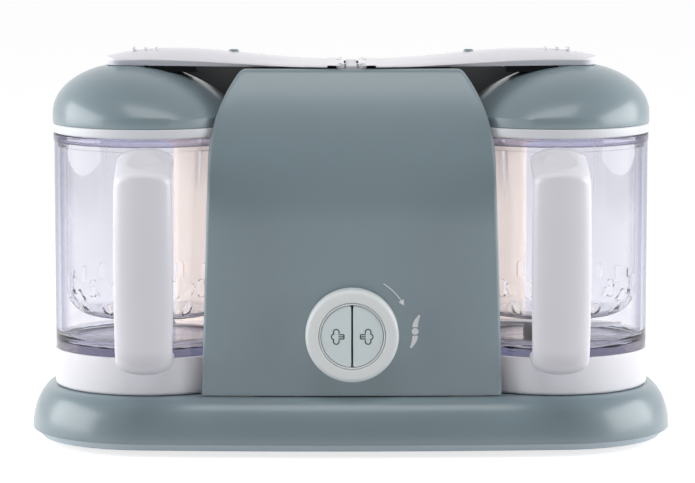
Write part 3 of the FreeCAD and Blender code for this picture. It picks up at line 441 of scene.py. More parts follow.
panel = {"front": -78.0, "gap": 0.7, "wall": 3.2, "edge": 2.4, "lip": 0.1, "foot": 36.0, "footHalf": 92.2,
         "shoulder": 180.0, "shoulderHalf": 87.9, "top": 235.2, "topHalf": 67.5, "leanStart": 140.0, "lean": 28.0,
         "levels": 64, "across": 30, "knobZ": 75.3, "hole": 20.3, "drill": (-100.0, -60.0)}
leanHeight = panel["top"] - panel["leanStart"]
leanRadius = (panel["lean"] ** 2 + leanHeight ** 2) / (2 * panel["lean"])


# Half width of the facade: straight, then an arc that leaves the straight side smoothly
def panelHalf(z):
    taper = (panel["shoulderHalf"] - panel["footHalf"]) / (panel["shoulder"] - panel["foot"])
    if z <= panel["shoulder"]:
        return panel["footHalf"] + taper * (z - panel["foot"])
    start = Vector((panel["shoulderHalf"], panel["shoulder"]))
    chord = Vector((panel["topHalf"], panel["top"])) - start
    inward = Vector((-1, taper)).normalized()
    radius = chord.length_squared / (2 * inward.dot(chord))
    centre = start + inward * radius
    return centre.x + math.sqrt(radius ** 2 - (z - centre.y) ** 2)


# Front surface of the facade, bowed in plan and leaning back towards the top
def panelY(x, z, depth=0.0):
    setback = 0.0
    if z > panel["leanStart"]:
        setback = leanRadius - math.sqrt(leanRadius ** 2 - (z - panel["leanStart"]) ** 2)
    reach = bowCentre - (panel["front"] + setback + depth)
    return bowCentre - math.sqrt(reach ** 2 - x ** 2)


def panelRing(z, inset):
    half, edge, wall, count = panelHalf(z) - inset, panel["edge"], panel["wall"], panel["across"]
    flat = half - edge
    side = [(flat + edge * s, min(inset + edge * (1 - c), wall - panel["lip"]))
            for s, c in quarterTurn(steps=6)[1:]]
    ring = [(flat * (2 * i / count - 1), inset) for i in range(count + 1)] + side
    ring += [(half * (1 - 2 * i / count), wall) for i in range(count + 1)]
    ring += [(-x, depth) for x, depth in reversed(side)]
    return [(x, panelY(x, z, depth), z) for x, depth in ring]


def makePanel():
    edge, levels = panel["edge"], panel["levels"]
    start, end = panel["foot"] + panel["gap"], panel["top"] - edge      # a shadow line above the base
    rings = [panelRing(start + (end - start) * k / levels, 0) for k in range(levels + 1)]
    rings += [panelRing(end + edge * s, edge * (1 - c)) for s, c in quarterTurn(steps=5)[1:]]
    face = buildPiece("frontPanel", skinRings(rings), greyAbs)
    hole = rodShape((0, panel["knobZ"]), panel["hole"], *panel["drill"], "y", steps=96)
    carve(face, [buildPiece("knobHole", hole, greyAbs)])
    place(face, "housing", "body_grey", "front_panel")


column = {"nest": 63.0, "sweep": 72.0, "nose": 9.0, "corner": 14.0, "back": 97.0, "wall": 3.0, "split": 196.0,
          "seat": 0.1, "levels": 30, "creaseSteps": 14, "deckTop": 235.2, "deckRear": 216.0, "deckEdge": 3.0,
          "slopeStart": 24.0, "slopeEnd": 98.0,
          "hingeLow": (-10.2, -90.0, 233.0), "hingeHigh": (10.2, 13.5, 250.0)}
vent = {"count": 9, "pitch": 8.0, "low": (-1.5, 53.0), "high": (1.5, 87.0), "corner": 1.4, "drill": (90.0, 100.0)}


# Right half of the column's plan from the flank to the middle of the rear; the first point meets the facade
def columnHalf(inset):
    nest, nose, corner = column["nest"] + inset, column["nose"] - inset, column["corner"] - inset
    back, sweep = column["back"] - inset, column["sweep"]
    reach, swing = column["nest"] + column["nose"], math.radians(180 - sweep)
    noseX, noseY = bowlX + reach * math.cos(swing), bowlY + reach * math.sin(swing)
    side = noseX + nose
    crease = 180 - math.degrees(math.asin((column["slopeStart"] - bowlY) / nest))
    half = [(bowlX - nest, None)]
    half += arcPoints(bowlX, bowlY, nest, 180, crease, column["creaseSteps"])
    half += arcPoints(bowlX, bowlY, nest, crease, 180 - sweep, steps=12)[1:]
    half += arcPoints(noseX, noseY, nose, -sweep, 0, steps=10)[1:]
    half += arcPoints(side - corner, back - corner, corner, 0, 90, steps=10)
    return half + [(0, back)]


def columnRing(inset, heightAt, start):
    half = columnHalf(inset)
    ring = []
    for x, y in half + [(-x, y) for x, y in reversed(half[:-1])]:
        if y is None:
            y = panelY(x, start, panel["wall"] + column["seat"])
        ring.append((x, y, heightAt(y)))
    return ring


def makeRearCover():
    rings = []
    for k in range(column["levels"] + 1):
        z = base["top"] + (column["split"] - base["top"]) * k / column["levels"]
        inner = columnRing(column["wall"], lambda y: z, z)
        rings.append(columnRing(0, lambda y: z, z) + inner[::-1])
    cover = buildPiece("rearCover", skinRings(rings), creamPp)
    slot = roundBox(vent["low"], vent["high"], [vent["corner"]] * 4)
    tool = skinRings([[(x, y, z) for x, z in slot] for y in vent["drill"]])
    start = -(vent["count"] - 1) / 2 * vent["pitch"]
    carve(cover, [repeated("vents", tool, creamPp, vent["count"], (vent["pitch"], 0, 0), 0, (start, 0, 0))])
    place(cover, "housing", "pale_plastic", "rear_cover")
    return cover


boiler = {"x": 36.6, "cuts": ((20.5, 190.0, 250.0), (22.6, 233.6, 250.0)), "steps": 72,     # radius, low, high
          "line": ((0, 166.4, 0), (20.3, 166.4, 3.2), (20.3, 233.7, 0.3), (22.5, 233.7, 0.3), (22.5, 235.2, 0.4),
                   (19.5, 235.2, 0.6), (19.5, 167.2, 2.4), (0, 167.2, 0))}


def deckHeight(y):
    share = max(0, y - column["slopeStart"]) / (column["slopeEnd"] - column["slopeStart"])
    return column["deckTop"] + (column["deckRear"] - column["deckTop"]) * share


# The top is two flat faces that meet at a crease
def makeDeck():
    edge = column["deckEdge"]
    rings = [columnRing(0, lambda y: column["split"], column["split"])]
    for s, c in quarterTurn(steps=6):
        rings.append(columnRing(edge * (1 - c), lambda y: deckHeight(y) - edge * (1 - s), column["deckTop"]))
    points, faces = skinRings(rings, True, False)
    count = len(rings[0])
    first = (len(rings) - 1) * count
    level = column["creaseSteps"] + 1      # points of one side in front of the crease
    front = list(range(first, first + level + 1)) + list(range(first + count - level - 1, first + count))
    rear = list(range(first + level, first + count - level))
    # the deck's near-black material is partly painted shade for the shadow under the arms
    deck = buildPiece("topDeck", (points, faces + [tuple(front), tuple(rear)]), paintedShadeNylon)
    tools = [boxShape(column["hingeLow"], column["hingeHigh"])]
    tools += [rodShape((x, bowlY), *cut, steps=boiler["steps"])
              for x in (boiler["x"], -boiler["x"]) for cut in boiler["cuts"]]
    carve(deck, [buildPiece("deckTool", tool, paintedShadeNylon) for tool in tools])
    place(deck, "housing", "black_plastic", "top_deck")


hinge = {"pinX": 6.8, "pinZ": 236.4, "barrel": 2.3, "front": -45.5, "rear": 11.5, "spineLow": (-3.4, 233.0),
         "spineHigh": (3.4, 236.9), "edge": 0.9, "floor": 233.0, "knuckle": 3.0, "play": 0.3, "armY": -17.0,
         "notchX": 9.7, "notchZ": (200.0, 260.0)}


def makeHingeBlock():
    pinX, pinZ, edge = hinge["pinX"], hinge["pinZ"], hinge["edge"]
    outline = roundBox(hinge["spineLow"], hinge["spineHigh"], (0, 0, edge, edge))
    spine = skinRings([[(x, y, z) for x, z in outline] for y in (hinge["front"], hinge["rear"])])
    block = buildPiece("hingeBlock", spine, satinWhiteAbs)
    low, high = hinge["armY"] - hinge["knuckle"], hinge["armY"] + hinge["knuckle"]
    ears = [rodShape((x, pinZ), hinge["barrel"], low, high, "y") for x in (pinX, -pinX)]
    ears.append(boxShape((-pinX, low, hinge["floor"]), (pinX, high, pinZ)))
    carve(block, [buildPiece("ear", ear, satinWhiteAbs) for ear in ears], "UNION")
    place(block, "housing", "white_plastic", "hinge_block")


makeBase()
makeFeet()
makePanel()
rearCover = makeRearCover()
makeDeck()
placePair("boilerCup_", turnPiece(boiler, (boiler["x"], bowlY)), brushedSteel, "housing", "steel", "boiler_cup_")
makeHingeBlock()
print("housing built")

dome = {"foot": 200.0, "ledge": 206.0, "top": 236.0, "peak": 236.8, "peakX": 139.0, "reach": 47.0, "inner": 100.02,
        "footRound": 0.8}


# Ring of the dome: its width at a level comes from an outer ellipse and an inner arc
def domeRing(z, level, inset):
    climb = (level - dome["ledge"]) / (dome["peak"] - dome["ledge"])
    outer = dome["peakX"] + dome["reach"] * math.sqrt(1 - climb ** 2)
    drop = level - dome["peak"] + dome["inner"]
    inner = dome["peakX"] - math.sqrt(dome["inner"] ** 2 - drop ** 2)
    spots = arcPoints((outer + inner) / 2, bowlY, (outer - inner) / 2 - inset, 0, 360, steps=128)
    return [(x, y, z) for x, y in spots[:-1]]


def domeShape():
    foot, ledge, soft = dome["foot"], dome["ledge"], dome["footRound"]
    rings = [domeRing(foot + soft * (1 - c), ledge, soft * (1 - s)) for s, c in quarterTurn(steps=4)]
    heights = [ledge + (dome["top"] - ledge) * s for s, c in quarterTurn(steps=28)]
    return skinRings(rings + [domeRing(z, z, 0) for z in heights])


collar = {"steps": 128, "line": ((0, 197.4, 0), (54.1, 197.4, 0.5), (54.1, 194.3, 0.3), (55.5, 194.3, 0.2),
                                 (55.5, 195.9, 0), (58.9, 195.9, 0), (58.9, 194.3, 0.2), (60.3, 194.3, 1.0),
                                 (60.3, 200.0, 1.0), (0, 200.0, 0))}
arm = {"hingeHalf": 33.0, "tipHalf": 13.0, "tipX": 152.0, "corner": 10.0, "bottom": 236.0, "slitX": 15.0,
       "slit": 1.3, "slitStep": 0.01, "edgeRound": 0.9, "edgeShare": 0.8, "lean": 0.6, "crown": 32,
       "lengthSteps": 44, "tipTurn": 84.0, "tipEnds": ((0.02, 0.3), (0.0, 0.8)),
       "stations": ((6.8, 237.2, 238.7), (80.0, 239.2, 244.6), (130.0, 240.5, 245.2), (152.0, 239.4, 241.5))}


# Smooth line through the four stations (x, edge, crest)
def armLevel(x, which):
    total = 0.0
    for here in arm["stations"]:
        others = [station[0] for station in arm["stations"] if station != here]
        total += here[which] * math.prod((x - other) / (here[0] - other) for other in others)
    return total


def armRing(x, inset):
    share = (x - hinge["pinX"]) / (arm["tipX"] - hinge["pinX"])
    full = arm["hingeHalf"] + (arm["tipHalf"] - arm["hingeHalf"]) * share
    past, corner = x - (arm["tipX"] - arm["corner"]), arm["corner"]
    half = full - inset
    if past > 0:    # round corners of the tip, in plan
        half -= corner - math.sqrt(corner ** 2 - min(past, corner) ** 2)
    edge, crest = armLevel(x, 1), armLevel(x, 2)
    rise = crest - edge
    radius = (full ** 2 + rise ** 2) / (2 * rise)
    low = arm["bottom"] + (arm["slit"] if x < arm["slitX"] else 0)
    soft = min(arm["edgeRound"], arm["edgeShare"] * (edge - low))      # the long edges are rounded over
    under = half - arm["lean"] * (edge - low)     # the sides lean in below the edge
    line = [(-under, low)]
    for k in range(arm["crown"] + 1):
        y = half * math.sin(math.pi * (k / arm["crown"] - 0.5))
        over = max(0.0, soft - (half - abs(y)))
        drop = soft - math.sqrt(soft ** 2 - over ** 2)
        line.append((y, crest - inset - radius + math.sqrt(radius ** 2 - y ** 2) - drop))
    line.append((under, low))
    return [(x, hinge["armY"] + y, z) for y, z in line]


def armShape():
    pinX, slitX, tipX, count = hinge["pinX"], arm["slitX"], arm["tipX"], arm["lengthSteps"]
    flat = tipX - arm["corner"]
    spots = [pinX + (slitX - pinX) * share for share in (0, 0.25, 0.5, 0.75)] + [slitX - arm["slitStep"], slitX]
    spots += [slitX + (flat - slitX) * k / count for k in range(1, count + 1)]
    tip = arcPoints(flat, 0, arm["corner"], 90, 90 - arm["tipTurn"], steps=12)
    spots += [spot[0] for spot in tip[1:]]
    ends = [armRing(tipX - back, inset) for back, inset in arm["tipEnds"]]
    return skinRings([armRing(x, 0) for x in spots] + ends)


ridge = {"x": 121.0, "z": 245.6, "count": 3, "pitch": 7.0, "steps": 24,
         "line": ((0, -6.5, 0), (1.2, -6.5, 1.1), (1.2, 6.5, 1.1), (0, 6.5, 0))}
valve = {"x": 73.0, "steps": 40, "line": ((0, 242.0, 0), (3.2, 242.0, 0), (3.2, 245.3, 1.2), (0, 245.3, 0))}
# painted shade: a dark block under each arm, drawn as a steam duct, that fills the shadowed gap between arm and
# dome
shadeDuct = {"low": (96.0, -31.0, 232.0), "high": (128.0, -3.0, 236.1)}


def makeArms():
    armY, knuckle = hinge["armY"], hinge["knuckle"] + hinge["play"]
    barrel = rodShape((hinge["pinX"], hinge["pinZ"]), hinge["barrel"], hinge["front"], hinge["rear"], "y")
    low, high = hinge["notchZ"]
    notch = boxShape((0, armY - knuckle, low), (hinge["notchX"], armY + knuckle, high))
    shapes = (armShape(), barrel, notch, turnPiece(valve, (valve["x"], armY)), boxShape(shadeDuct["low"], shadeDuct["high"]))
    bar = turnPiece(ridge, (0, 0), "y")
    for sign, (side, blade, rod, gap, cap, cover) in zip((1, -1), bothSides(*shapes)):
        body = side + "_lid"
        piece = buildPiece("lidArm_" + side, blade, whiteAbs)
        carve(piece, [buildPiece("barrel", rod, whiteAbs)], "UNION")
        carve(piece, [buildPiece("notch", gap, whiteAbs)])
        place(piece, body, "white_plastic", "lid_arm_" + side)
        ridges = repeated("armRidges_" + side, bar, whiteAbs, ridge["count"], (sign * ridge["pitch"], 0, 0), 0,
                          (sign * ridge["x"], armY, ridge["z"]))
        place(ridges, body, "white_plastic")
        place(buildPiece("lidValve_" + side, cap, greyAbs), body, "body_grey", "lid_valve_" + side)
        # the dark duct under the arm is painted shade for the gap between arm and dome
        place(buildPiece("paintedShadeDuct_" + side, cover, paintedShadeNylon), body, "black_plastic")


placePair("lidDome_", domeShape(), greyAbs, "{}_lid", "body_grey", "lid_dome_")
# the collars take the greyer satin white partly as painted shade
placePair("lidCollar_", turnPiece(collar, (bowlX, bowlY)), satinWhiteAbs, "{}_lid", "white_plastic",
          "lid_collar_")
makeArms()
print("lids built")

jar = {"radius": 59.2, "wall": 3.2, "floor": 59.6, "inside": 63.6, "corner": 8.0, "foot": 66.5, "footEdge": 0.8,
       "ledge": 186.0, "bead": 189.0, "rim": 194.0, "rimWall": 1.9, "beadOut": 0.5, "joint": 0.05, "bore": 8.05,
       "beadEdges": (0.3, 0.9, 0.9, 0.6), "steps": 160, "crisp": 40}


# The thin wall, the thick foot and the rim bead are closed forms of their own: the thick ones look deeper for
# their thickness, and their denser, darker clear materials add painted shade
def makeBowls():
    outer, corner, joint, steps, sharp = (jar[k] for k in ("radius", "corner", "joint", "steps", "crisp"))
    inner, lip = outer - jar["wall"], outer - jar["rimWall"]
    centre = (inner - corner, jar["inside"] + corner)
    split = math.degrees(math.asin((jar["foot"] - centre[1]) / corner))
    top, ledge = jar["bead"] - joint, jar["ledge"]
    wall = [(outer, jar["foot"]), (outer, top), (lip, top), (lip, ledge), (inner, ledge)]
    wall += arcPoints(*centre, corner, 0, split, steps=10)
    bead = roundBox((lip, jar["bead"]), (outer + jar["beadOut"], jar["rim"]), jar["beadEdges"])
    for side, sign, bore in (("right", 1, jar["bore"]), ("left", -1, 0)):      # only the right bowl has a blade
        foot = roundCorners([(bore, jar["floor"], 0), (outer, jar["floor"], jar["footEdge"]),
                             (outer, jar["foot"] - joint, 0)])
        foot += [(r, z - joint) for r, z in arcPoints(*centre, corner, split, -90, steps=14)]
        foot.append((bore, jar["inside"] - joint))
        axis = (sign * bowlX, bowlY)
        bowl = buildPiece("bowl_" + side, turnLine(wall, axis, steps), clearBowl, sharp)
        bowl.visible_shadow = False      # light falls through the clear wall
        # the rim bead's darker material is painted shade
        weld(bowl, [buildPiece("bowlBead", turnLine(bead, axis, steps), paintedShadeRim, sharp),
                    buildPiece("bowlFoot", turnLine(foot, axis, steps), clearFootPaintedShade, sharp)])
        place(bowl, side + "_bowl", "clear_plastic", "bowl_" + side)


skirt = {"steps": 128, "line": ((8.05, 56.1, 0), (57.0, 56.1, 1.0), (57.0, 36.3, 0.3), (59.5, 36.3, 2.0),
                                (59.5, 59.45, 0.4), (8.05, 59.45, 0))}
basket = {"steps": 144, "crisp": 40,
          "line": ((0, 80.0, 0), (52.0, 80.0, 16.0), (52.0, 186.0, 0.4), (57.0, 186.0, 0.4), (57.0, 192.0, 0.8),
                   (50.2, 192.0, 0.8), (50.2, 81.8, 14.2), (0, 81.8, 0)),
          "slots": 18, "slotHalf": 2.5, "slotCorner": 2.2, "slotReach": (36.0, 56.0),
          "rows": ((84.0, 92.0), (95.0, 106.0)), "ribTurns": (126, 54, 234, 306), "ribHalf": 1.2,
          "rib": ((51.1, 187.0), (54.8, 187.0), (51.5, 143.0), (51.1, 143.0))}


# Points (reach, across, height) are turned about the origin
def spun(ring, turn):
    c, s = math.cos(math.radians(turn)), math.sin(math.radians(turn))
    return [(r * c - w * s, r * s + w * c, z) for r, w, z in ring]


# Wedges prop the basket below its rim; the slots of the second row stand between those of the first
def makeBaskets():
    half, step, sharp = basket["slotHalf"], 360 / basket["slots"], basket["crisp"]
    sides, edges = (-basket["ribHalf"], basket["ribHalf"]), [basket["slotCorner"]] * 4
    for side, axisX in (("right", bowlX), ("left", -bowlX)):
        spot = (axisX, bowlY, 0)
        cup = buildPiece("steamBasket_" + side, turnPiece(basket, spot, bend=10), clearBasket, sharp)
        cup.visible_shadow = False
        ribs, rows = [], []
        for turn in basket["ribTurns"]:
            wedge = skinRings([spun([(r, w, z) for r, z in basket["rib"]], turn) for w in sides])
            ribs.append(repeated("rib", wedge, clearBasket, 1, (0, 0, 0), 0, spot))
        carve(cup, ribs, "UNION", sharp)
        for row, (low, high) in enumerate(basket["rows"]):
            outline = roundBox((-half, low), (half, high), edges)
            slot = skinRings([spun([(r, w, z) for w, z in outline], step / 2 * row) for r in basket["slotReach"]])
            rows.append(repeated("slots", slot, clearBasket, basket["slots"], (0, 0, 0), step, spot))
        carve(cup, rows, "DIFFERENCE", sharp)
        place(cup, side + "_bowl", "clear_plastic", "steam_basket_" + side)


handle = {"width": 36.0, "waist": 34.0, "thick": 15.0, "front": -115.0, "top": 189.26, "slope": 0.264,
          "bottom": 53.0, "root": -67.7, "crease": 4.0, "knee": 8.0, "heel": 17.0, "hollow": 4.0, "seat": 59.62,
          "step": 1.2, "steps": 96, "crisp": 50, "thumbAbove": 0.5, "thumbY": -92.0, "thumbLength": 13.5,
          "thumbWidth": 10.0, "thumbDepth": 1.8}


# Side lines of the strap: the outer one has a crisp crease below the shoulder, the inner one runs behind it
def handleLines():
    front, thick, slope, root, bottom = (handle[k] for k in ("front", "thick", "slope", "root", "bottom"))
    lines = []
    for depth, knee, heel in ((0, handle["crease"], handle["heel"]), (thick, handle["knee"], handle["hollow"])):
        y, low, top = front + depth, bottom + depth, handle["top"] - depth * math.sqrt(1 + slope ** 2)
        corners = [(root, top, 0), (y, top - slope * (root - y), knee), (y, low, heel), (root, low, 0)]
        lines.append([Vector(spot) for spot in roundCorners(corners, steps=12)])
    outer, inner = lines
    pairs = []
    for a, b, c, d in zip(outer, outer[1:], inner, inner[1:]):      # both lines are cut into the same short steps
        parts = max(1, round((b - a).length / handle["step"]))
        pairs += [(a.lerp(b, k / parts), c.lerp(d, k / parts)) for k in range(parts)]
    return pairs + [(outer[-1], inner[-1])]


# An oval section is stretched between the two lines; both ends meet the bowl's round wall
def handleShape():
    span = handle["top"] - handle["bottom"]
    rings = []
    for outer, inner in handleLines():
        middle, reach = (outer + inner) / 2, (outer - inner) / 2
        rise = 2 * (middle.y - handle["bottom"]) / span - 1        # from -1 at the foot to 1 at the top
        half = (handle["width"] + (handle["waist"] - handle["width"]) * rise ** 2) / 2
        nearWall = middle.x > handle["front"] + 2 * handle["thick"]
        ring = []
        for k in range(handle["steps"]):
            turn = 2 * math.pi * k / handle["steps"]
            x, out = half * math.cos(turn), math.sin(turn)
            y, z = middle + reach * out
            if nearWall:
                y = min(y, bowlY - math.sqrt(handle["seat"] ** 2 - x ** 2))
            if out > 0 and rise > handle["thumbAbove"]:        # thumb hollow on the shoulder
                near = (x / handle["thumbWidth"]) ** 2 + ((y - handle["thumbY"]) / handle["thumbLength"]) ** 2
                z -= handle["thumbDepth"] * max(0.0, 1 - near)
            ring.append((bowlX + x, y, z))
        rings.append(ring)
    return skinRings(rings)


makeBowls()
placePair("bowlSkirt_", turnPiece(skirt, (bowlX, bowlY)), whiteAbs, "{}_bowl", "white_plastic", "bowl_skirt_")
makeBaskets()
placePair("bowlHandle_", handleShape(), whiteAbs, "{}_bowl", "white_plastic", "bowl_handle_", handle["crisp"])
print("bowls built")

ring = {"steps": 128, "line": ((20.5, -78.3, 0.3), (28.5, -78.3, 0.4), (28.5, -91.5, 3.0), (20.5, -91.5, 0.9))}
sleeve = {"steps": 128, "line": ((19.3, -87.0, 0), (20.15, -87.0, 0), (20.15, -91.2, 0.3), (19.3, -91.2, 0.3))}
button = {"radius": 18.9, "slit": 1.2, "face": -90.4, "faceInset": 0.05, "thick": 6.0, "edge": 0.35, "corner": 1.2,
          "stem": 3.0, "stemY": (-85.4, -65.0)}
knobZ = panel["knobZ"]


# Half-moon outline of the right button, drawn in by an inset
def keyOutline(inset):
    radius, flat, corner = button["radius"] - inset, button["slit"] / 2 + inset, button["corner"] - inset
    start = math.degrees(math.acos(flat / radius))
    arc = arcPoints(0, 0, radius, -start, start, steps=56)
    return roundCorners([(*arc[0], corner)] + [(*p, 0) for p in arc[1:-1]] + [(*arc[-1], corner)])


def makeKnob():
    place(buildPiece("controlRing", turnPiece(ring, (0, knobZ), "y"), ringAbs), "control_ring", "white_plastic",
          "control_ring")
    place(buildPiece("knobSleeve", turnPiece(sleeve, (0, knobZ), "y"), ringAbs), "housing", "white_plastic")
    edge, face = button["edge"], button["face"]
    levels = [(edge * (1 - s), edge * (1 - c)) for s, c in quarterTurn(steps=3)]
    levels = [(edge + button["faceInset"], 0)] + levels + [(0, button["thick"])]
    plate = skinRings([[(x, face + deep, knobZ + z) for x, z in keyOutline(inset)] for inset, deep in levels])
    stem = rodShape((button["radius"] / 2, knobZ), button["stem"], *button["stemY"], "y", steps=32)
    for side, form, rod in bothSides(plate, stem):
        key = buildPiece("steamButton_" + side, form, buttonAbs)
        carve(key, [buildPiece("stem", rod, buttonAbs)], "UNION")
        place(key, side + "_button", "button_white", "steam_button_" + side)


inkLift = 0.06          # half the thickness of a print
cloud = {"line": 0.7, "lobe": 1.75, "lobes": ((9.7, 2.6), (10.9, -0.2), (9.7, -3.0)), "overlap": 0.02,
         "mouth": 1.9, "centreIn": 0.2, "bars": (5.0, 8.3), "barHeights": (1.1, -0.2, -1.5)}
arrow = {"line": 0.5, "radius": 36.2, "turns": (58.0, 34.0), "head": 3.8, "tip": 5.5}
wings = {"x": 38.6, "z": 76.5, "hub": 2.1, "start": 2.6, "reach": 9.4, "half": 1.7, "narrow": 0.85, "sweep": 2.3,
         "steps": 12}


# A printed mark: a closed outline laid a hair above a surface whose depth is given by a function
def inkShape(outline, depthAt):
    return skinRings([[(x, depthAt(x, z) + lift, z) for x, z in outline] for lift in (-inkLift, inkLift)])


# A line of ink of even width
def strokeShape(line, width, depthAt):
    rings = []
    for i, point in enumerate(line):
        along = Vector(line[min(i + 1, len(line) - 1)]) - Vector(line[max(i - 1, 0)])
        along.normalize()
        side = Vector((-along.y, along.x)) * width / 2
        edges = (Vector(point) + side, Vector(point) - side)
        front, back = ([(x, depthAt(x, z) + lift, z) for x, z in edges] for lift in (-inkLift, inkLift))
        rings.append(front + back[::-1])
    return skinRings(rings)


def buttonY(x, z):      # the buttons' faces are flat
    return button["face"]


# A cloud of three lobes, open towards a puff of three bars
def makeButtonSigns():
    lobes, radius = cloud["lobes"], cloud["lobe"]
    left, middle = lobes[0][0], lobes[1][1]
    outline = []
    for centre in lobes:
        for x, z in arcPoints(*centre, radius, 0, 360, steps=60)[:-1]:
            reach = min(math.dist((x, z), other) for other in lobes if other != centre)
            mouth = x < left and abs(z - middle) < cloud["mouth"]
            if reach >= radius - cloud["overlap"] and not mouth:
                outline.append((x, z))
    outline.sort(key=lambda p: math.atan2(p[1] - middle, p[0] - left + cloud["centreIn"]))
    (near, far), heights = cloud["bars"], cloud["barHeights"]
    lines = [outline] + [[(near, z), (far, z)] for z in heights] + [[(near, heights[0]), (near, heights[-1])]]
    points, faces = joinShapes([strokeShape(line, cloud["line"], buttonY) for line in lines])
    points = [(x, y, z + knobZ) for x, y, z in points]
    placePair("steamSign_", (points, faces), greyInk, "{}_button", "button_white", "")


# An arrow round the ring, and a blade of two wings
def makePanelSigns():
    first, last = arrow["turns"]
    shaft = arcPoints(0, knobZ, arrow["radius"], first, last, steps=16)
    tip = arcPoints(0, knobZ, arrow["radius"], last, last - arrow["tip"], steps=1)[-1]
    end = Vector(shaft[-1])
    along = (Vector(tip) - end).normalized()
    side = Vector((-along.y, along.x)) * arrow["head"] / 2
    cx, cz, start, reach = (wings[k] for k in ("x", "z", "start", "reach"))
    wing, tail = [], []
    for k in range(wings["steps"] + 1):     # the wing sweeps to one side and narrows to a round tip
        t = k / wings["steps"]
        middle, half = wings["sweep"] * t ** 2, wings["half"] - wings["narrow"] * t ** 2
        height = start + (reach - start) * t
        wing.append((middle + half, height))
        tail.append((middle - half, height))
    wing += arcPoints(middle, reach, half, 0, 180, steps=10)[1:-1] + tail[::-1]
    forms = [[end + side, tip, end - side], arcPoints(cx, cz, wings["hub"], 0, 360, steps=40)[:-1]]
    forms += [[(cx + turn * x, cz + turn * z) for x, z in wing] for turn in (1, -1)]
    shapes = [strokeShape(shaft, arrow["line"], panelY)] + [inkShape(form, panelY) for form in forms]
    place(buildPiece("panelSigns", joinShapes(shapes), whiteInk), "housing", "white_plastic")


makeKnob()
makeButtonSigns()
makePanelSigns()
print("control built")

hub = {"steps": 96, "line": ((3.05, 64.3, 0), (18.0, 64.3, 0.5), (18.0, 71.9, 2.5), (3.05, 71.9, 0))}
nut = {"steps": 64, "line": ((0, 73.4, 0), (6.0, 73.4, 0.3), (6.0, 77.4, 2.0), (0, 77.4, 0))}
for name, shape, finish, slot, node in (("bladeHub", hub, blackPom, "black_plastic", "blade_hub"),
                                        ("bladeNut", nut, brushedSteel, "steel", "blade_nut")):
    place(buildPiece(name, turnPiece(shape, (bowlX, bowlY)), finish), "blade_drive", slot, node)

# The pieces that keep their CAD mesh take the same finishes
finishes = ((paleGreyAbs, "bottom_pan"), (satinWhiteAbs, "knob_hub"), (boardResist, "switch_board"),
            (softRubber, "cord_gland drive_belt"), (sinteredBronze, "motor_bush drive_bearing shaft_bush"),
            (blackPom, "drive_pulley driven_pulley drive_coupling bowl_coupling"),
            (zincSteel, "base_screws motor_can motor_shaft heating_element_right heating_element_left"),
            (milkSilicone, "lid_seal_right lid_seal_left boiler_seal_right boiler_seal_left"),
            (brushedSteel, "blade blade_shaft ring_spring hinge_pin_right hinge_pin_left"),
            (brushedSteel, "button_spring_right button_spring_left"))
for finish, names in finishes:
    for name in names.split():
        nodes[name].material_slots[0].material = finish
print("finishes set on the kept nodes")

studio = {"floor": "#C8C8CA", "glow": 0.75, "reach": 9000.0, "front": 0.02, "sides": 0.25, "above": 0.15,
          "behind": 1.0, "camera": (-20.0, -2288.0, 400.0), "pitch": 6.914, "yaw": 0.447, "lens": 189.2}
white = (1.0, 1.0, 1.0, 1.0)
lamps = {"boxLeft": ((-1300, -130, 430), (-90, -20, 110), (1300, 800), 13.5),      # place, aim, size and watts
         "boxRight": ((1300, -130, 430), (90, -20, 110), (1300, 800), 13.5),
         "boxAbove": ((0, -650, 1250), (0, 0, 120), (1000, 500), 5.0),
         "wallLeft": ((-575, -783, 260), (-100, 40, 120), (500, 160), 8.5),
         "wallRight": ((575, -783, 260), (100, 40, 120), (500, 160), 8.5)}


# Gives 1 for the named kinds of ray, which see the floor and the room as white
def raysOf(tree, first, *others):
    kinds = addNode(tree, "ShaderNodeLightPath").outputs
    seen = kinds[first]
    for kind in others:
        seen = addNode(tree, "ShaderNodeMath", {}, {0: seen, 1: kinds[kind]}, operation="MAXIMUM")
    return seen


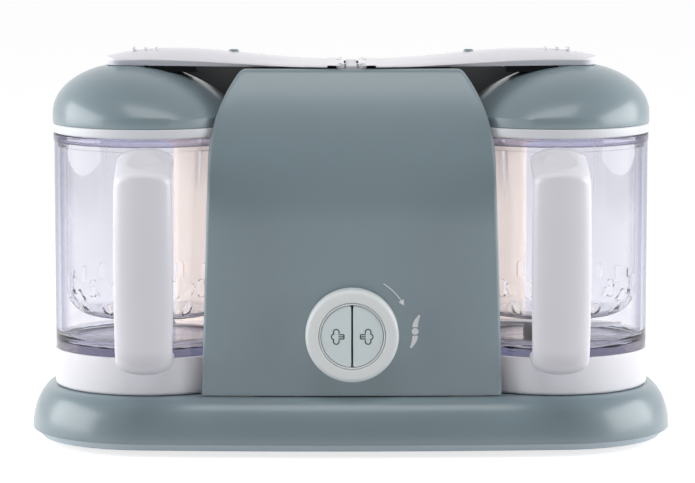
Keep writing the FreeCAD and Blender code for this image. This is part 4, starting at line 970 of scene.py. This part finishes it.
# The room: bright walls at the sides and behind, a bright ceiling, and a dim side where the camera stands
def makeRoom():
    world = bpy.data.worlds.new("studioRoom")
    world.use_nodes = True
    scene.world = world
    tree = world.node_tree
    tree.nodes.clear()
    way = addNode(tree, "ShaderNodeTexCoord").outputs["Generated"]
    axis = addNode(tree, "ShaderNodeSeparateXYZ", {}, {"Vector": way}).outputs
    across = addNode(tree, "ShaderNodeMath", {}, {0: axis["X"], 1: axis["X"]}, operation="MULTIPLY")
    level = addNode(tree, "ShaderNodeMath", {1: studio["sides"], 2: studio["front"]}, {0: across},
                    operation="MULTIPLY_ADD")
    for key, share in (("Z", studio["above"]), ("Y", studio["behind"])):
        part = addNode(tree, "ShaderNodeMath", {1: 0.0}, {0: axis[key]}, operation="MAXIMUM")
        level = addNode(tree, "ShaderNodeMath", {1: share}, {0: part, 2: level}, operation="MULTIPLY_ADD")
    room = addNode(tree, "ShaderNodeBackground", {"Color": white}, {"Strength": level})
    plain = addNode(tree, "ShaderNodeBackground", {"Color": white, "Strength": 1.0})
    seen = raysOf(tree, "Is Camera Ray", "Is Transmission Ray")
    mix = addNode(tree, "ShaderNodeMixShader", {}, {0: seen, 1: room, 2: plain})
    addNode(tree, "ShaderNodeOutputWorld", links={"Surface": mix})


def makeFloor():
    material, tree = startMaterial("paleFloor")
    matt = addNode(tree, "ShaderNodeBsdfDiffuse", {"Color": hexLinear(studio["floor"])})
    seen = raysOf(tree, "Is Camera Ray", "Is Glossy Ray", "Is Transmission Ray")
    level = addNode(tree, "ShaderNodeMath", {1: studio["glow"]}, {0: seen}, operation="MULTIPLY")
    glow = addNode(tree, "ShaderNodeEmission", {"Color": white}, {"Strength": level})
    both = addNode(tree, "ShaderNodeAddShader", {}, {0: matt, 1: glow})
    addNode(tree, "ShaderNodeOutputMaterial", links={"Surface": both})
    corners = [(studio["reach"] * x, studio["reach"] * y, 0) for x, y in ((-1, -1), (1, -1), (1, 1), (-1, 1))]
    floor = buildPiece("studioFloor", (corners, [(0, 1, 2, 3)]), material)


def makeLamps():
    walls = bpy.data.collections.new("wallsBehindBowls")     # the wall lamps light only the pale wall
    walls.objects.link(rearCover)
    for name, (spot, aim, size, power) in lamps.items():
        data = bpy.data.lights.new(name, "AREA")
        data.shape = "RECTANGLE"
        data.size, data.size_y = size[0] * mm, size[1] * mm
        data.energy = power
        lamp = bpy.data.objects.new(name, data)
        lamp.location = Vector(spot) * mm
        lamp.rotation_euler = (Vector(aim) - Vector(spot)).to_track_quat("-Z", "Y").to_euler()
        lamp.visible_transmission = False       # the boxes are not seen through the bowls
        scene.collection.objects.link(lamp)
        if name.startswith("wall"):
            lamp.light_linking.receiver_collection = walls


def makeCamera():
    data = bpy.data.cameras.new("photoCamera")
    data.lens = studio["lens"]
    camera = bpy.data.objects.new("photoCamera", data)
    camera.location = Vector(studio["camera"]) * mm
    camera.rotation_euler = (math.radians(90 - studio["pitch"]), 0, -math.radians(studio["yaw"]))
    scene.collection.objects.link(camera)
    scene.camera = camera
    scene.view_settings.view_transform = "Standard"


makeRoom()
makeFloor()
makeLamps()
makeCamera()
print("studio ready")
